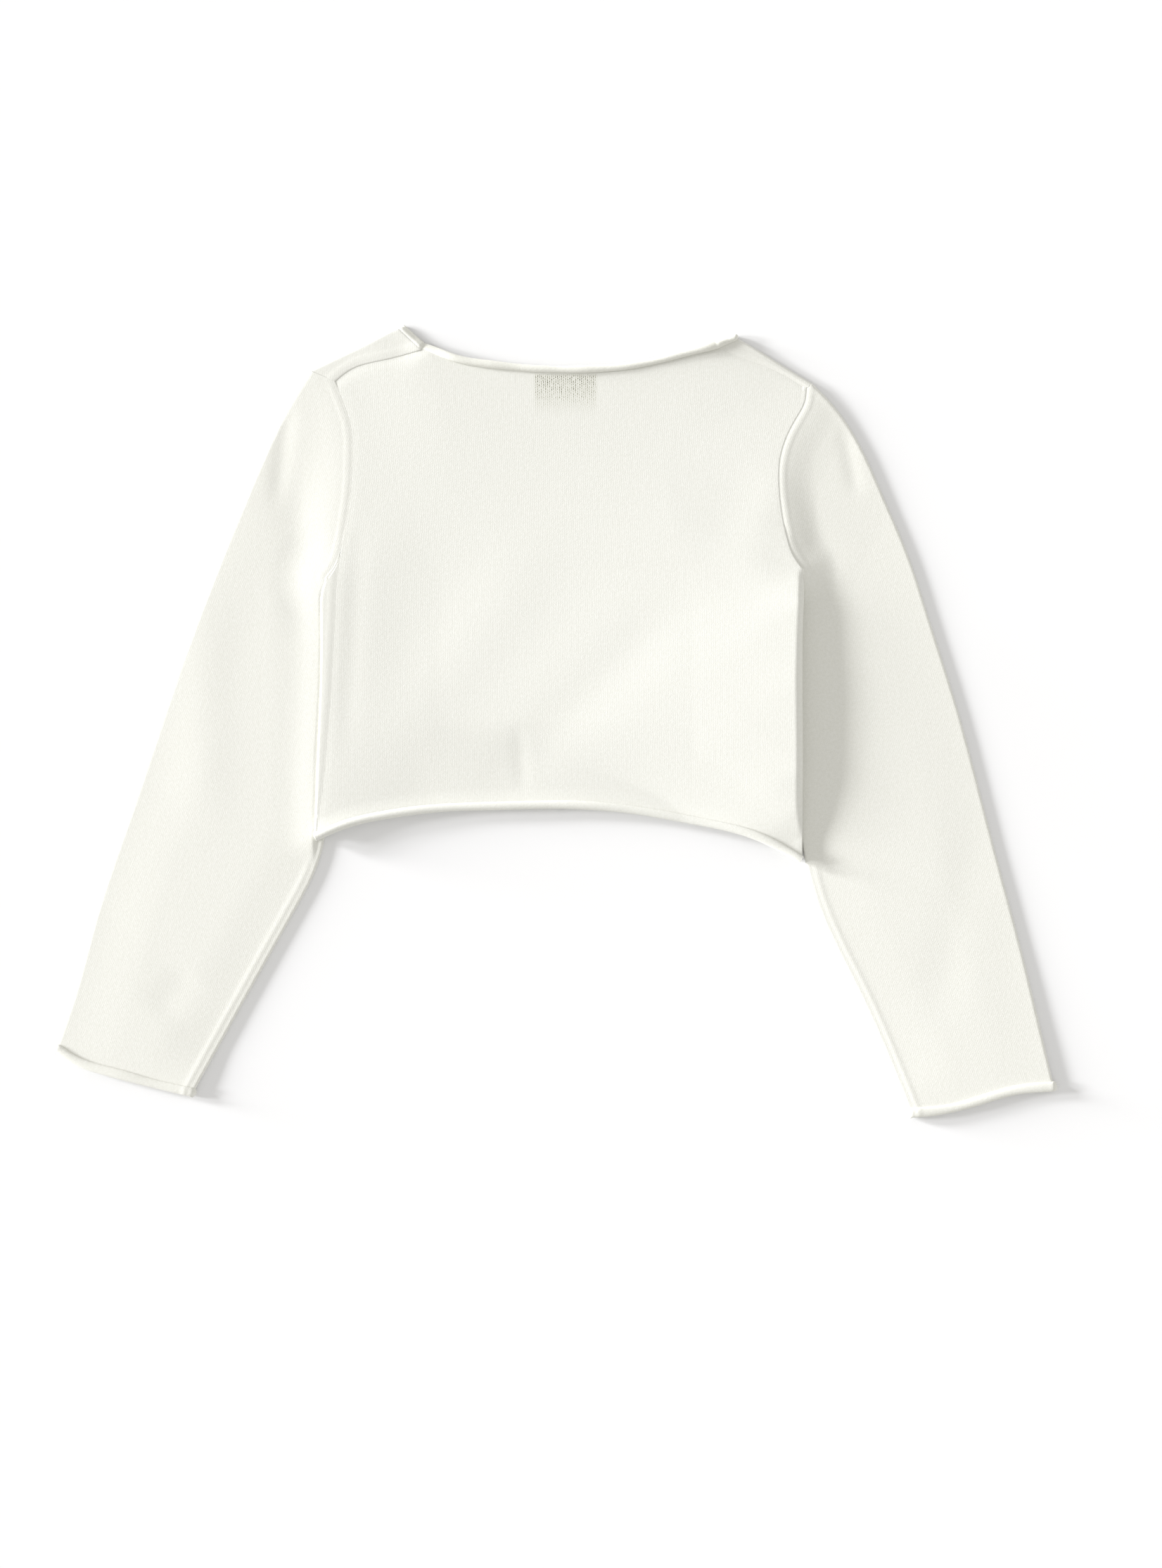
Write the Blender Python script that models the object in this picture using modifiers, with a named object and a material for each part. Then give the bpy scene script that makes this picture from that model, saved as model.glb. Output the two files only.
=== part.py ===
"""A child's cropped cardigan of fine knitted jersey, laid flat on its front with its back on top.

Every piece is a jersey wall on a surface that is worked out from the garment's own sizes.
Sizes are in millimetres, from the middle of the laid-out garment, with +Y towards the neck
and +Z up from the surface it lies on. Left and right are the wearer's.
"""
import math

import bpy
import numpy as np

MM = 0.001
LEFT, RIGHT = -1, 1

# Cloth
WALL = 1.2
TRIM_WALL = 1.0
LABEL_WALL = 1.0
SEAM_GAP = 0.4
HALF = WALL / 2

# Rolled edges: radius of the middle of the wall, and how far round it goes
HEM_ROLL = 1.6
HIDDEN_ROLL = 0.8
CUFF_ROLL = 1.9
ROLL_TURN = math.radians(275)
HIDDEN_TURN = math.radians(250)
TRIM_TURN = math.radians(262)

# Neck trim: width of its flat part and radius of its roll round the neck, and what is added
# to them at the two shoulder folds, and to the radius along the back
TRIM_FLAT = 1.0
TRIM_ROLL = 1.05
TRIM_FLAT_AT_FOLD = 0.9
TRIM_ROLL_AT_FOLD = 0.4
TRIM_ROLL_ON_BACK = 0.35

# Label under the back of the neck: left, right, top and bottom edge
LABEL = (-10.6, 20.8, 176.0, 155.4)

# Centre front, the gap between the two fronts, and the lowest point of the front neck
CENTRE_X = 3.0
CENTRE_GAP = 2.0
FRONT_NECK_Y = 103.0

# Outlines seen from above, each a smooth curve through (x, y)
SHOULDER_FOLD = {
    LEFT: ((-80.3, 200.9), (-86.4, 198.4), (-97.2, 193.0), (-108.4, 187.6), (-125.6, 179.3)),
    RIGHT: ((92.9, 195.5), (99.0, 192.2), (106.2, 187.9), (115.2, 182.2), (131.4, 172.4)),
}
SHOULDER_SEAM = {
    LEFT: ((-69.1, 189.7), (-74.9, 187.9), (-89.3, 184.3), (-104.4, 180.0), (-113.4, 173.5)),
    RIGHT: ((83.2, 191.2), (91.1, 186.8), (98.3, 184.3), (115.9, 177.0), (128.2, 169.6)),
}
BACK_NECK = (
    (-69.1, 189.7), (-50.4, 183.6), (-32.4, 180.7), (-14.4, 178.9), (3.6, 178.2), (21.6, 178.6),
    (39.6, 180.4), (57.6, 184.3), (72.0, 188.3), (83.2, 191.2),
)
FRONT_NECK = {
    LEFT: (
        (CENTRE_X - CENTRE_GAP / 2, FRONT_NECK_Y), (-7.0, 103.8), (-28.0, 111.0), (-54.0, 137.0),
        (-70.0, 168.0), (-79.0, 198.6),
    ),
    RIGHT: (
        (CENTRE_X + CENTRE_GAP / 2, FRONT_NECK_Y), (13.0, 103.8), (36.0, 110.5), (64.0, 134.0),
        (82.0, 165.0), (91.2, 193.4),
    ),
}
ARMHOLE = {
    LEFT: (
        (-113.4, 173.5), (-110.2, 166.7), (-106.9, 158.0), (-104.8, 150.5), (-104.0, 137.9),
        (-104.4, 123.5), (-106.9, 101.9), (-109.4, 88.9), (-112.4, 79.9), (-117.4, 72.7),
    ),
    RIGHT: (
        (128.2, 169.6), (127.4, 163.1), (122.8, 154.1), (117.4, 143.3), (114.5, 132.5),
        (114.1, 119.9), (115.6, 105.5), (118.6, 91.1), (121.4, 83.5), (125.8, 77.0),
    ),
}
SIDE = {
    LEFT: (
        (-117.4, 72.7), (-119.8, 66.0), (-120.4, 55.0), (-120.3, 40.0), (-120.6, 19.1),
        (-122.0, -13.3), (-123.4, -60.0),
    ),
    RIGHT: (
        (125.8, 77.0), (127.0, 70.0), (127.0, 60.0), (126.5, 44.0), (126.4, 8.3),
        (126.5, -27.7), (125.8, -71.6),
    ),
}
HEM = (
    (-123.4, -62.6), (-107.3, -55.8), (-87.1, -51.1), (-62.6, -47.9), (-26.3, -46.4), (11.9, -46.1),
    (44.3, -49.3), (74.5, -54.7), (104.8, -62.6), (125.8, -74.2),
)
SLEEVE_OUTER = {
    LEFT: (
        (-125.6, 179.3), (-137.9, 159.5), (-153.0, 127.8), (-173.5, 78.1), (-187.2, 42.5),
        (-199.1, 8.3), (-218.2, -48.6), (-235.8, -101.2), (-247.3, -142.6), (-256.0, -168.6),
    ),
    RIGHT: (
        (131.4, 172.4), (142.2, 161.3), (153.0, 145.1), (167.4, 113.0), (179.6, 83.9),
        (190.1, 51.8), (205.2, 8.3), (216.0, -31.3), (227.9, -77.0), (236.5, -109.1), (255.4, -188.0),
    ),
}
SLEEVE_INNER = {
    LEFT: (
        (-118.4, 73.7), (-120.6, 73.2), (-122.3, 70.8), (-122.9, 66.0), (-122.8, 60.0), (-121.8, 52.0),
        (-119.4, 42.0), (-116.8, 28.0), (-116.0, 8.3), (-116.6, -20.5), (-117.4, -42.0), (-118.4, -60.0),
        (-123.0, -77.0), (-133.2, -97.2), (-156.2, -138.2), (-185.8, -191.6),
    ),
    RIGHT: (
        (126.8, 77.7), (129.0, 77.2), (130.5, 74.8), (130.8, 70.0), (130.2, 63.0), (128.6, 55.0),
        (125.8, 45.0), (122.8, 30.0), (121.8, 8.3), (122.0, -20.5), (122.8, -42.0), (125.6, -60.0),
        (128.2, -74.0), (133.9, -94.7), (154.4, -138.6), (181.6, -202.0),
    ),
}
CUFF = {
    LEFT: ((-253.6, -169.0), (-247.2, -173.8), (-226.6, -181.8), (-205.2, -188.4), (-188.0, -193.0)),
    RIGHT: ((253.4, -189.0), (236.5, -190.8), (219.0, -196.0), (198.0, -201.8), (183.5, -203.4)),
}

# Heights of the middle of the wall above the surface at the body's two edges.
# y, lift of the front and level of the back on the left, the same on the right, edge's turn
EDGE_LEVELS = np.array((
    (178.0, 0.0, 4.2, 0.0, 3.9, 0),
    (140.0, 0.0, 5.2, 0.0, 5.5, 0),
    (100.0, 0.6, 5.6, 0.6, 6.4, 0),
    (77.0, 3.2, 6.2, 3.2, 7.2, 0),
    (72.0, 3.3, 6.3, 3.4, 7.6, 40),
    (60.0, 3.4, 6.5, 3.4, 8.8, 90),
    (20.0, 3.4, 6.5, 3.4, 9.6, 90),
    (-25.0, 3.4, 6.5, 3.4, 9.4, 90),
    (-45.0, 4.4, 7.0, 3.4, 8.0, 50),
    (-60.0, 5.4, 7.6, 3.4, 6.6, 0),
))
BACK_LEVEL = 5.2
BACK_HEM_LEVEL = 3.8

# Lift of the fronts over the neck trim, and how sharply the larger of two lifts wins
NECK_LIFT = 2.2
BLEND = 4

# Widths of the slopes down from those raised places
FRONT_SLOPE = 9.0
BACK_SLOPE = {LEFT: 36.0, RIGHT: 100.0}
BACK_HEM_SLOPE = {LEFT: 60.0, RIGHT: 60.0}
HEM_SLOPE = 14.0
NECK_SLOPE = 9.0

# Level strips before those slopes start: at the body's edge, past a sleeve and at the neck
EDGE_FLAT = 2.0
SLEEVE_FLAT = 3.0
NECK_FLAT = 1.0

# Folds fade over this share of their length, on each side of both ends
FOLD_FADE = 0.25

# Broad folds of the back, and its rise at both neck corners. start and end, half width, height
BACK_FOLDS = (
    ((45.7, 53.6), (-41.8, -29.9), 13.0, -0.6),
    ((-18.7, 80.3), (-92.0, -18.4), 20.0, 0.5),
    ((113.8, 129.6), (79.6, 91.4), 12.0, 0.5),
    ((-101.0, 88.0), (-107.0, -6.0), 6.0, -0.4),
    ((-90.0, 210.0), (-62.0, 182.0), 12.0, 0.9),
    ((104.0, 208.0), (76.0, 184.0), 13.0, 1.5),
)

# Layers of the sleeve, by share of its length: level of the top at the outer fold and in the
# middle, height of the inner fold, and how far in from that fold the top keeps its level
SLEEVE_LEVELS = np.array((
    (0.00, 4.2, 4.8, 2.6, 0.0),
    (0.03, 3.9, 4.6, 2.5, 1.0),
    (0.07, 3.2, 4.2, 1.8, 4.0),
    (0.20, 2.7, 4.0, 1.8, 9.0),
    (0.42, 2.7, 3.9, 1.8, 9.0),
    (0.50, 2.7, 3.8, 1.8, 8.0),
    (0.60, 2.7, 3.5, 2.1, 0.0),
    (0.94, 2.7, 3.3, 2.1, 0.0),
    (1.00, 6.5, 6.5, 2.1, 0.0),
))
SLEEVE_SLOPE = 20.0

# Folds of the sleeves. start and end, half width, height
SLEEVE_FOLDS = {
    LEFT: (
        ((-138.0, 158.0), (-144.0, 118.0), 4.0, -0.6),
        ((-118.0, 136.0), (-121.0, 92.0), 6.0, 0.5),
        ((-174.0, 34.0), (-178.0, -42.0), 12.0, -0.4),
    ),
    RIGHT: (
        ((148.0, 146.0), (154.0, 118.0), 4.0, -0.6),
        ((214.0, -60.0), (196.0, -150.0), 12.0, -0.4),
    ),
}

# Distance in which the sleeve leaves the armhole's heights, its extra gaps at the shoulder and
# the underarm, and the shares of its length over which its folds turn from the armhole's
# direction to their own, the armhole's bend fades out of it, and it rises over the cuff
LEAVES_ARMHOLE = 19.0
CORNER_GAPS = (0.5, 1.0)
FOLD_TURNS = 0.03
ARMHOLE_BENDS = 0.2
CUFF_RISES = 0.05

# Shares down the armhole, down the side and along the sleeve at which there is a row
ARMHOLE_ROWS = np.array((0, 0.12, 0.25, 0.38, 0.51, 0.63, 0.74, 0.84, 0.93, 1.0))
SIDE_ROWS = np.array((0, 0.05, 0.1, 0.18, 0.3, 0.43, 0.56, 0.69, 0.8, 0.88, 0.95, 1.0))
SLEEVE_ROWS = {
    "outer": np.array((0, 0.04, 0.1, 0.17, 0.24, 0.31, 0.37, 0.43, 0.48, 0.53, 0.58, 0.63,
                       0.68, 0.73, 0.78, 0.83, 0.88, 0.92, 0.95, 0.97, 0.985, 1.0)),
    "inner": np.array((0, 0.004, 0.01, 0.018, 0.028, 0.04, 0.06, 0.09, 0.13, 0.18, 0.24, 0.31,
                       0.38, 0.46, 0.55, 0.65, 0.75, 0.85, 0.92, 0.955, 0.98, 1.0)),
}

# Number of strips in the other directions
SHOULDER_COLUMNS = 7
NECK_COLUMNS = 12
EDGE_COLUMNS = 2
FOLD_STEPS = 4
ROLL_STEPS = 7
STRIP_ROWS = 2
LABEL_COLUMNS = 6
LABEL_ROWS = 4

# Shares across the front at which there is a column
FRONT_HEM_SHARES = np.array((0, 0.22, 0.44, 0.62, 0.76, 0.87, 0.94, 1.0))

# How far in from a fold's rim the heights of its two layers are read, and the turn in radians
# below which an edge counts as flat
FOLD_INSET = 2.5
NO_TURN = 0.01


def smooth(t):
    """Eases from 0 to 1 as t goes from 0 to 1, and stays level outside."""
    t = np.clip(t, 0.0, 1.0)
    return t * t * (3.0 - 2.0 * t)


def unit(vectors):
    """The vectors at length 1."""
    return vectors / np.linalg.norm(vectors, axis=-1, keepdims=True)


def curve(points, shares):
    """Natural cubic curve through the points, read at shares of its chord length."""
    points = np.array(points, float)
    steps = np.linalg.norm(np.diff(points, axis=0), axis=1)
    knots = np.concatenate([[0.0], np.cumsum(steps)])
    count = len(points)
    matrix = np.eye(count)
    change = np.zeros_like(points)
    for i in range(1, count - 1):
        matrix[i, i - 1:i + 2] = steps[i - 1], 2 * (steps[i - 1] + steps[i]), steps[i]
        after = (points[i + 1] - points[i]) / steps[i]
        before = (points[i] - points[i - 1]) / steps[i - 1]
        change[i] = 6 * (after - before)
    bend = np.linalg.solve(matrix, change)
    at = np.asarray(shares, float) * knots[-1]
    i = np.clip(np.searchsorted(knots, at, side="right") - 1, 0, count - 2)
    step = steps[i][:, None]
    a = ((knots[i + 1] - at) / steps[i])[:, None]
    b = 1 - a
    wave = (a ** 3 - a) * bend[i] + (b ** 3 - b) * bend[i + 1]
    return a * points[i] + b * points[i + 1] + wave * step ** 2 / 6


def side_normals(line, side):
    """Unit vectors across a plan line, on the wearer's given side of it."""
    along = unit(np.gradient(line, axis=0))
    across = np.stack([along[:, 1], -along[:, 0]], axis=1)
    flip = np.where(across[:, :1] * side < 0, -1.0, 1.0)
    return across * flip


def patch(top, bottom, left, right, from_top, from_bottom, u):
    """Grid of plan points between four edge lines, at shares u across: a straight blend from the
    left line to the right, bent by the given shares of the top line's bend and the bottom's."""
    u = u[None, :, None]
    straight = (1 - u) * left[:, None] + u * right[:, None]
    top_bend = top - (1 - u) * top[0] - u * top[-1]
    bottom_bend = bottom - (1 - u) * bottom[0] - u * bottom[-1]
    return straight + from_top[:, None, None] * top_bend + from_bottom[:, None, None] * bottom_bend


def shares_of(values):
    """The values as shares of the way from the first to the last."""
    return (values - values[0]) / (values[-1] - values[0])


def fold_height(folds, x, y):
    """Sum of the folds: each is a bell across its line, and fades out at its two ends."""
    total = np.zeros_like(x)
    for start, end, width, height in folds:
        start, end = np.array(start), np.array(end)
        run = end - start
        length = np.hypot(*run)
        share = ((x - start[0]) * run[0] + (y - start[1]) * run[1]) / length ** 2
        away = ((x - start[0]) * run[1] - (y - start[1]) * run[0]) / length
        fade_in = smooth((share + FOLD_FADE) / (2 * FOLD_FADE))
        fade_out = smooth((1 + FOLD_FADE - share) / (2 * FOLD_FADE))
        total += height * np.exp(-(away / width) ** 2) * fade_in * fade_out
    return total


DENSE = np.linspace(0, 1, 160)
EDGE_LINE = {side: np.concatenate([curve(ARMHOLE[side], DENSE), curve(SIDE[side], DENSE)]) for side in SIDE}
INNER_LINE = {side: curve(SLEEVE_INNER[side], DENSE) for side in SLEEVE_INNER}
OUTER_LINE = {side: curve(SLEEVE_OUTER[side], DENSE) for side in SLEEVE_OUTER}
HEM_LINE = curve(HEM, DENSE) + np.array((0.0, HEM_ROLL + HALF))
NECK_LINE = {side: curve(FRONT_NECK[side], DENSE) for side in FRONT_NECK}


def distance(line, x, y):
    """Distance in plan from the nearest point of a line."""
    return np.hypot(x[..., None] - line[:, 0], y[..., None] - line[:, 1]).min(axis=-1)


def at_y(line, y):
    """x of a line that falls steadily, at the heights y."""
    return np.interp(y, line[::-1, 1], line[::-1, 0])


def inward(side, x, y):
    """Distance in from the body's edge on one side."""
    return (at_y(EDGE_LINE[side], y) - x) * side


def edge_level(side, y, name):
    """Front lift or back level at the body's edge, read from the table by y."""
    column = {"lift": 1, "level": 2}[name] + (2 if side == RIGHT else 0)
    return np.interp(y, EDGE_LEVELS[::-1, 0], EDGE_LEVELS[::-1, column])


def above_hem(x, y):
    """Distance up from the line where the hem starts to roll."""
    return y - np.interp(x, HEM_LINE[:, 0], HEM_LINE[:, 1])


def back_height(x, y):
    """Middle of the back's wall: calm in the middle, raised over the sleeves at both sides."""
    near_hem = 1 - smooth(above_hem(x, y) / HEM_SLOPE)
    calm = BACK_LEVEL + (BACK_HEM_LEVEL - BACK_LEVEL) * near_hem
    height = calm + fold_height(BACK_FOLDS, x, y)
    for side in (LEFT, RIGHT):
        slope = BACK_SLOPE[side] + (BACK_HEM_SLOPE[side] - BACK_SLOPE[side]) * near_hem
        share = 1 - smooth((inward(side, x, y) - EDGE_FLAT) / slope)
        height += (edge_level(side, y, "level") - calm) * share
    return height


def front_height(x, y):
    """Middle of the front's wall: on the surface, but raised over the sleeves' inner edges,
    over its own rolled hem and over the neck trim."""
    lifts = [2 * HIDDEN_ROLL * (1 - smooth(above_hem(x, y) / HEM_SLOPE))]
    for side in (LEFT, RIGHT):
        tucked = (at_y(EDGE_LINE[side], y) - at_y(INNER_LINE[side], y)) * side
        flat = np.maximum(tucked, 0.0) + SLEEVE_FLAT
        share = 1 - smooth((inward(side, x, y) - flat) / FRONT_SLOPE)
        lifts.append(edge_level(side, y, "lift") * share)
        near = distance(NECK_LINE[side], x, y)
        lifts.append(NECK_LIFT * (1 - smooth((near - NECK_FLAT) / NECK_SLOPE)))
    return HALF + sum(lift ** BLEND for lift in lifts) ** (1 / BLEND)


def edge_rows(side):
    """Rows down one edge of the body: plan point, outward direction, turn and radius."""
    flank = curve(SIDE[side], SIDE_ROWS)
    line = np.concatenate([curve(ARMHOLE[side], ARMHOLE_ROWS), flank[1:]])
    out = side_normals(line, side)
    end = 0 if side == LEFT else -1
    inner = 3 if side == LEFT else -4
    out[-1] = unit(HEM_LINE[end] - HEM_LINE[inner])
    out[-2] = unit(2 * out[-2] + out[-1])
    turn = np.radians(np.interp(line[:, 1], EDGE_LEVELS[::-1, 0], EDGE_LEVELS[::-1, 5]))
    turn[:len(ARMHOLE_ROWS)] = 0.0
    level = edge_level(side, line[:, 1], "level")
    lift = edge_level(side, line[:, 1], "lift")
    radius = (level - HALF - lift - SEAM_GAP) / 2
    line = line - out * (HALF * np.sin(turn))[:, None]
    return line, out, turn, radius


def reach(turn, length):
    """Plan length that is left of a strip when it bends down through an angle."""
    return np.where(turn > NO_TURN, length * np.sin(turn) / np.maximum(turn, NO_TURN), length)


def bend_edge(grid, start, out, turn, radius, height, down):
    """Columns that carry a panel on past its last column, bending by each row's turn."""
    length = radius * math.pi / 2
    columns = []
    for k in range(1, EDGE_COLUMNS + 1):
        angle = turn * k / EDGE_COLUMNS
        part = length * k / EDGE_COLUMNS
        bent = np.where(turn > NO_TURN, length / np.maximum(turn, NO_TURN), 0.0)
        plan = start + out * reach(angle, part)[:, None]
        flat = height(plan[:, 0], plan[:, 1])
        at_start = height(start[:, 0], start[:, 1])
        share = turn / math.radians(90)
        z = flat * (1 - share) + at_start * share + down * bent * (1 - np.cos(angle))
        columns.append(np.concatenate([plan, z[:, None]], axis=1))
    return np.concatenate([grid, np.stack(columns, axis=1)], axis=1)


def surface_normals(grid, facing):
    """Outward normals of a grid of points: the cross product of its two directions."""
    down = np.gradient(grid, axis=0)
    across = np.gradient(grid, axis=1)
    return unit(np.cross(down, across)) * facing


def rolled(grid, radius, turn, facing, ring=False):
    """The grid with rows added after its last: a roll that turns to its outward side."""
    last = grid[-1]
    if ring:
        across = np.roll(last, -1, axis=0) - np.roll(last, 1, axis=0)
    else:
        across = np.gradient(last, axis=0)
    normal = unit(np.cross(last - grid[-2], across)) * facing
    ahead = unit(np.cross(across, normal)) * facing
    radius = np.broadcast_to(radius, len(last))[:, None]
    rows = []
    for k in range(1, ROLL_STEPS + 1):
        angle = turn * k / ROLL_STEPS
        rows.append(last + radius * (ahead * math.sin(angle) + normal * (1 - math.cos(angle))))
    return np.concatenate([grid, np.stack(rows)])


def drawn_back(grid, rows=(), columns=()):
    """The grid with its first (0) or last (-1) rows and columns moved in by half the seam gap."""
    grid = grid.copy()
    for end in rows:
        inner = 1 if end == 0 else -2
        grid[end] += unit(grid[inner] - grid[end]) * SEAM_GAP / 2
    for end in columns:
        inner = 1 if end == 0 else -2
        grid[:, end] += unit(grid[:, inner] - grid[:, end]) * SEAM_GAP / 2
    return grid


def shoulder_points(side, length):
    """Plan points of one shoulder seam from the neck out, the last ones on the edge strip."""
    seam = curve(SHOULDER_SEAM[side], DENSE)
    first = 1 - length / np.linalg.norm(np.diff(seam, axis=0), axis=1).sum()
    points = curve(SHOULDER_SEAM[side], np.linspace(0, first, SHOULDER_COLUMNS + 1))
    edge = np.linspace(0, 1, EDGE_COLUMNS + 1)[1:, None]
    return np.concatenate([points, points[-1] + (seam[-1] - points[-1]) * edge])


def back_grid():
    """The back from its shoulder seams and neck down to the line where the hem rolls."""
    edges = {side: edge_rows(side) for side in (LEFT, RIGHT)}
    starts = {}
    tops = {}
    for side, (line, out, turn, radius) in edges.items():
        length = radius * math.pi / 2
        shoulder = shoulder_points(side, length[0])
        out[0] = unit(shoulder[-1] - shoulder[-2])
        out[1] = unit(out[0] + out[1] + out[2])
        starts[side] = line - out * reach(turn, length)[:, None]
        tops[side] = shoulder[:-EDGE_COLUMNS]
        starts[side][0] = tops[side][-1]
    neck = curve(BACK_NECK, np.linspace(0, 1, NECK_COLUMNS + 1))
    top = np.concatenate([tops[LEFT][:0:-1], neck, tops[RIGHT][1:]])
    across = shares_of(top[:, 0])
    low_left, low_right = starts[LEFT][-1], starts[RIGHT][-1]
    hem_x = low_left[0] + (low_right[0] - low_left[0]) * across
    bottom = np.stack([hem_x, np.interp(hem_x, HEM_LINE[:, 0], HEM_LINE[:, 1])], axis=1)
    starts[LEFT][-1], starts[RIGHT][-1] = bottom[0], bottom[-1]
    down = shares_of((starts[LEFT][:, 1] + starts[RIGHT][:, 1]) / 2)
    plan = patch(top, bottom, starts[LEFT], starts[RIGHT], 1 - down, down, across)
    grid = np.concatenate([plan, back_height(plan[..., 0], plan[..., 1])[..., None]], axis=2)
    for side in (RIGHT, LEFT):
        line, out, turn, radius = edges[side]
        grid = grid if side == RIGHT else grid[:, ::-1]
        grid = bend_edge(grid, starts[side], out, turn, radius, back_height, -1)
    return grid[:, ::-1]


def front_grid(side):
    """One front from the line where its hem rolls, over the shoulder fold, to the seam on top."""
    line, out, turn, radius = edge_rows(side)
    length = radius * math.pi / 2
    seam = shoulder_points(side, length[0])
    seam_run = np.linalg.norm(np.diff(seam, axis=0), axis=1)
    seam_shares = shares_of(np.concatenate([[0.0], np.cumsum(seam_run)]))
    fold_rim = curve(SHOULDER_FOLD[side], seam_shares)
    fold_out = side_normals(fold_rim, side)
    fold_out[-1] = corner_out(side)
    inset = fold_rim - fold_out * FOLD_INSET
    fold_radius = (back_height(inset[:, 0], inset[:, 1]) - front_height(inset[:, 0], inset[:, 1])) / 2
    fold_line = fold_rim - fold_out * (fold_radius + HALF)[:, None]
    top = fold_line[:-EDGE_COLUMNS]
    out[0] = unit(fold_line[-1] - fold_line[-2])
    out[1] = unit(out[0] + out[1] + out[2])
    start = line - out * reach(turn, length)[:, None]
    start = np.concatenate([top[-1:], start])
    neck = curve(FRONT_NECK[side], np.linspace(1, 0, len(ARMHOLE_ROWS) + 1))
    neck += np.linspace(1, 0, len(neck))[:, None] * (top[0] - neck[0])
    centre_x = CENTRE_X + CENTRE_GAP / 2 * side
    centre_foot = np.interp(centre_x, HEM_LINE[:, 0], HEM_LINE[:, 1])
    centre_y = FRONT_NECK_Y + (centre_foot - FRONT_NECK_Y) * SIDE_ROWS[1:]
    centre = np.stack([np.full(len(centre_y), centre_x), centre_y], axis=1)
    inner = np.concatenate([neck, centre])
    hem_x = centre_x + (start[-1, 0] - centre_x) * FRONT_HEM_SHARES
    bottom = np.stack([hem_x, np.interp(hem_x, HEM_LINE[:, 0], HEM_LINE[:, 1])], axis=1)
    start[-1] = bottom[-1]
    down = shares_of((inner[:, 1] + start[:, 1]) / 2)
    plan = patch(top, bottom, inner, start, 1 - down, down, FRONT_HEM_SHARES)
    grid = np.concatenate([plan, front_height(plan[..., 0], plan[..., 1])[..., None]], axis=2)
    out = np.concatenate([out[:1], out])
    turn = np.concatenate([turn[:1], turn])
    radius = np.concatenate([radius[:1], radius])
    grid = bend_edge(grid, start, out, turn, radius, front_height, 1)
    corner = fold_line[-EDGE_COLUMNS:]
    grid[0, -EDGE_COLUMNS:, :2] = corner
    grid[0, -EDGE_COLUMNS:, 2] = front_height(corner[:, 0], corner[:, 1])
    low = grid[0, :, 2]
    high = back_height(fold_line[:, 0], fold_line[:, 1])
    bulge = (high - low) / 2
    rows = []
    for k in range(1, FOLD_STEPS + 1):
        angle = -math.pi / 2 + math.pi * k / FOLD_STEPS
        plan = fold_line + fold_out * (bulge * math.cos(angle))[:, None]
        z = (high + low) / 2 + bulge * math.sin(angle)
        rows.append(np.concatenate([plan, z[:, None]], axis=1))
    for k in range(1, STRIP_ROWS + 1):
        plan = fold_line + (seam - fold_line) * k / STRIP_ROWS
        rows.append(np.concatenate([plan, back_height(plan[:, 0], plan[:, 1])[:, None]], axis=1))
    return np.concatenate([np.stack(rows[::-1]), grid])


def corner_out(side):
    """Direction in which the shoulder point stands out: between the shoulder and the sleeve."""
    shoulder = side_normals(curve(SHOULDER_FOLD[side], DENSE), side)[-1]
    sleeve = side_normals(curve(SLEEVE_OUTER[side], DENSE), side)[0]
    return unit(shoulder + sleeve)


def armhole_ring(side):
    """Plan points of the armhole from the shoulder fold, past the shoulder seam, to the underarm."""
    rim = np.array(SHOULDER_FOLD[side][-1])
    out = corner_out(side)
    inset = rim - out * FOLD_INSET
    radius = (back_height(inset[:1], inset[1:]) - front_height(inset[:1], inset[1:]))[0] / 2
    return np.concatenate([[rim - out * (radius + HALF)], curve(ARMHOLE[side], ARMHOLE_ROWS)])


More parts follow.
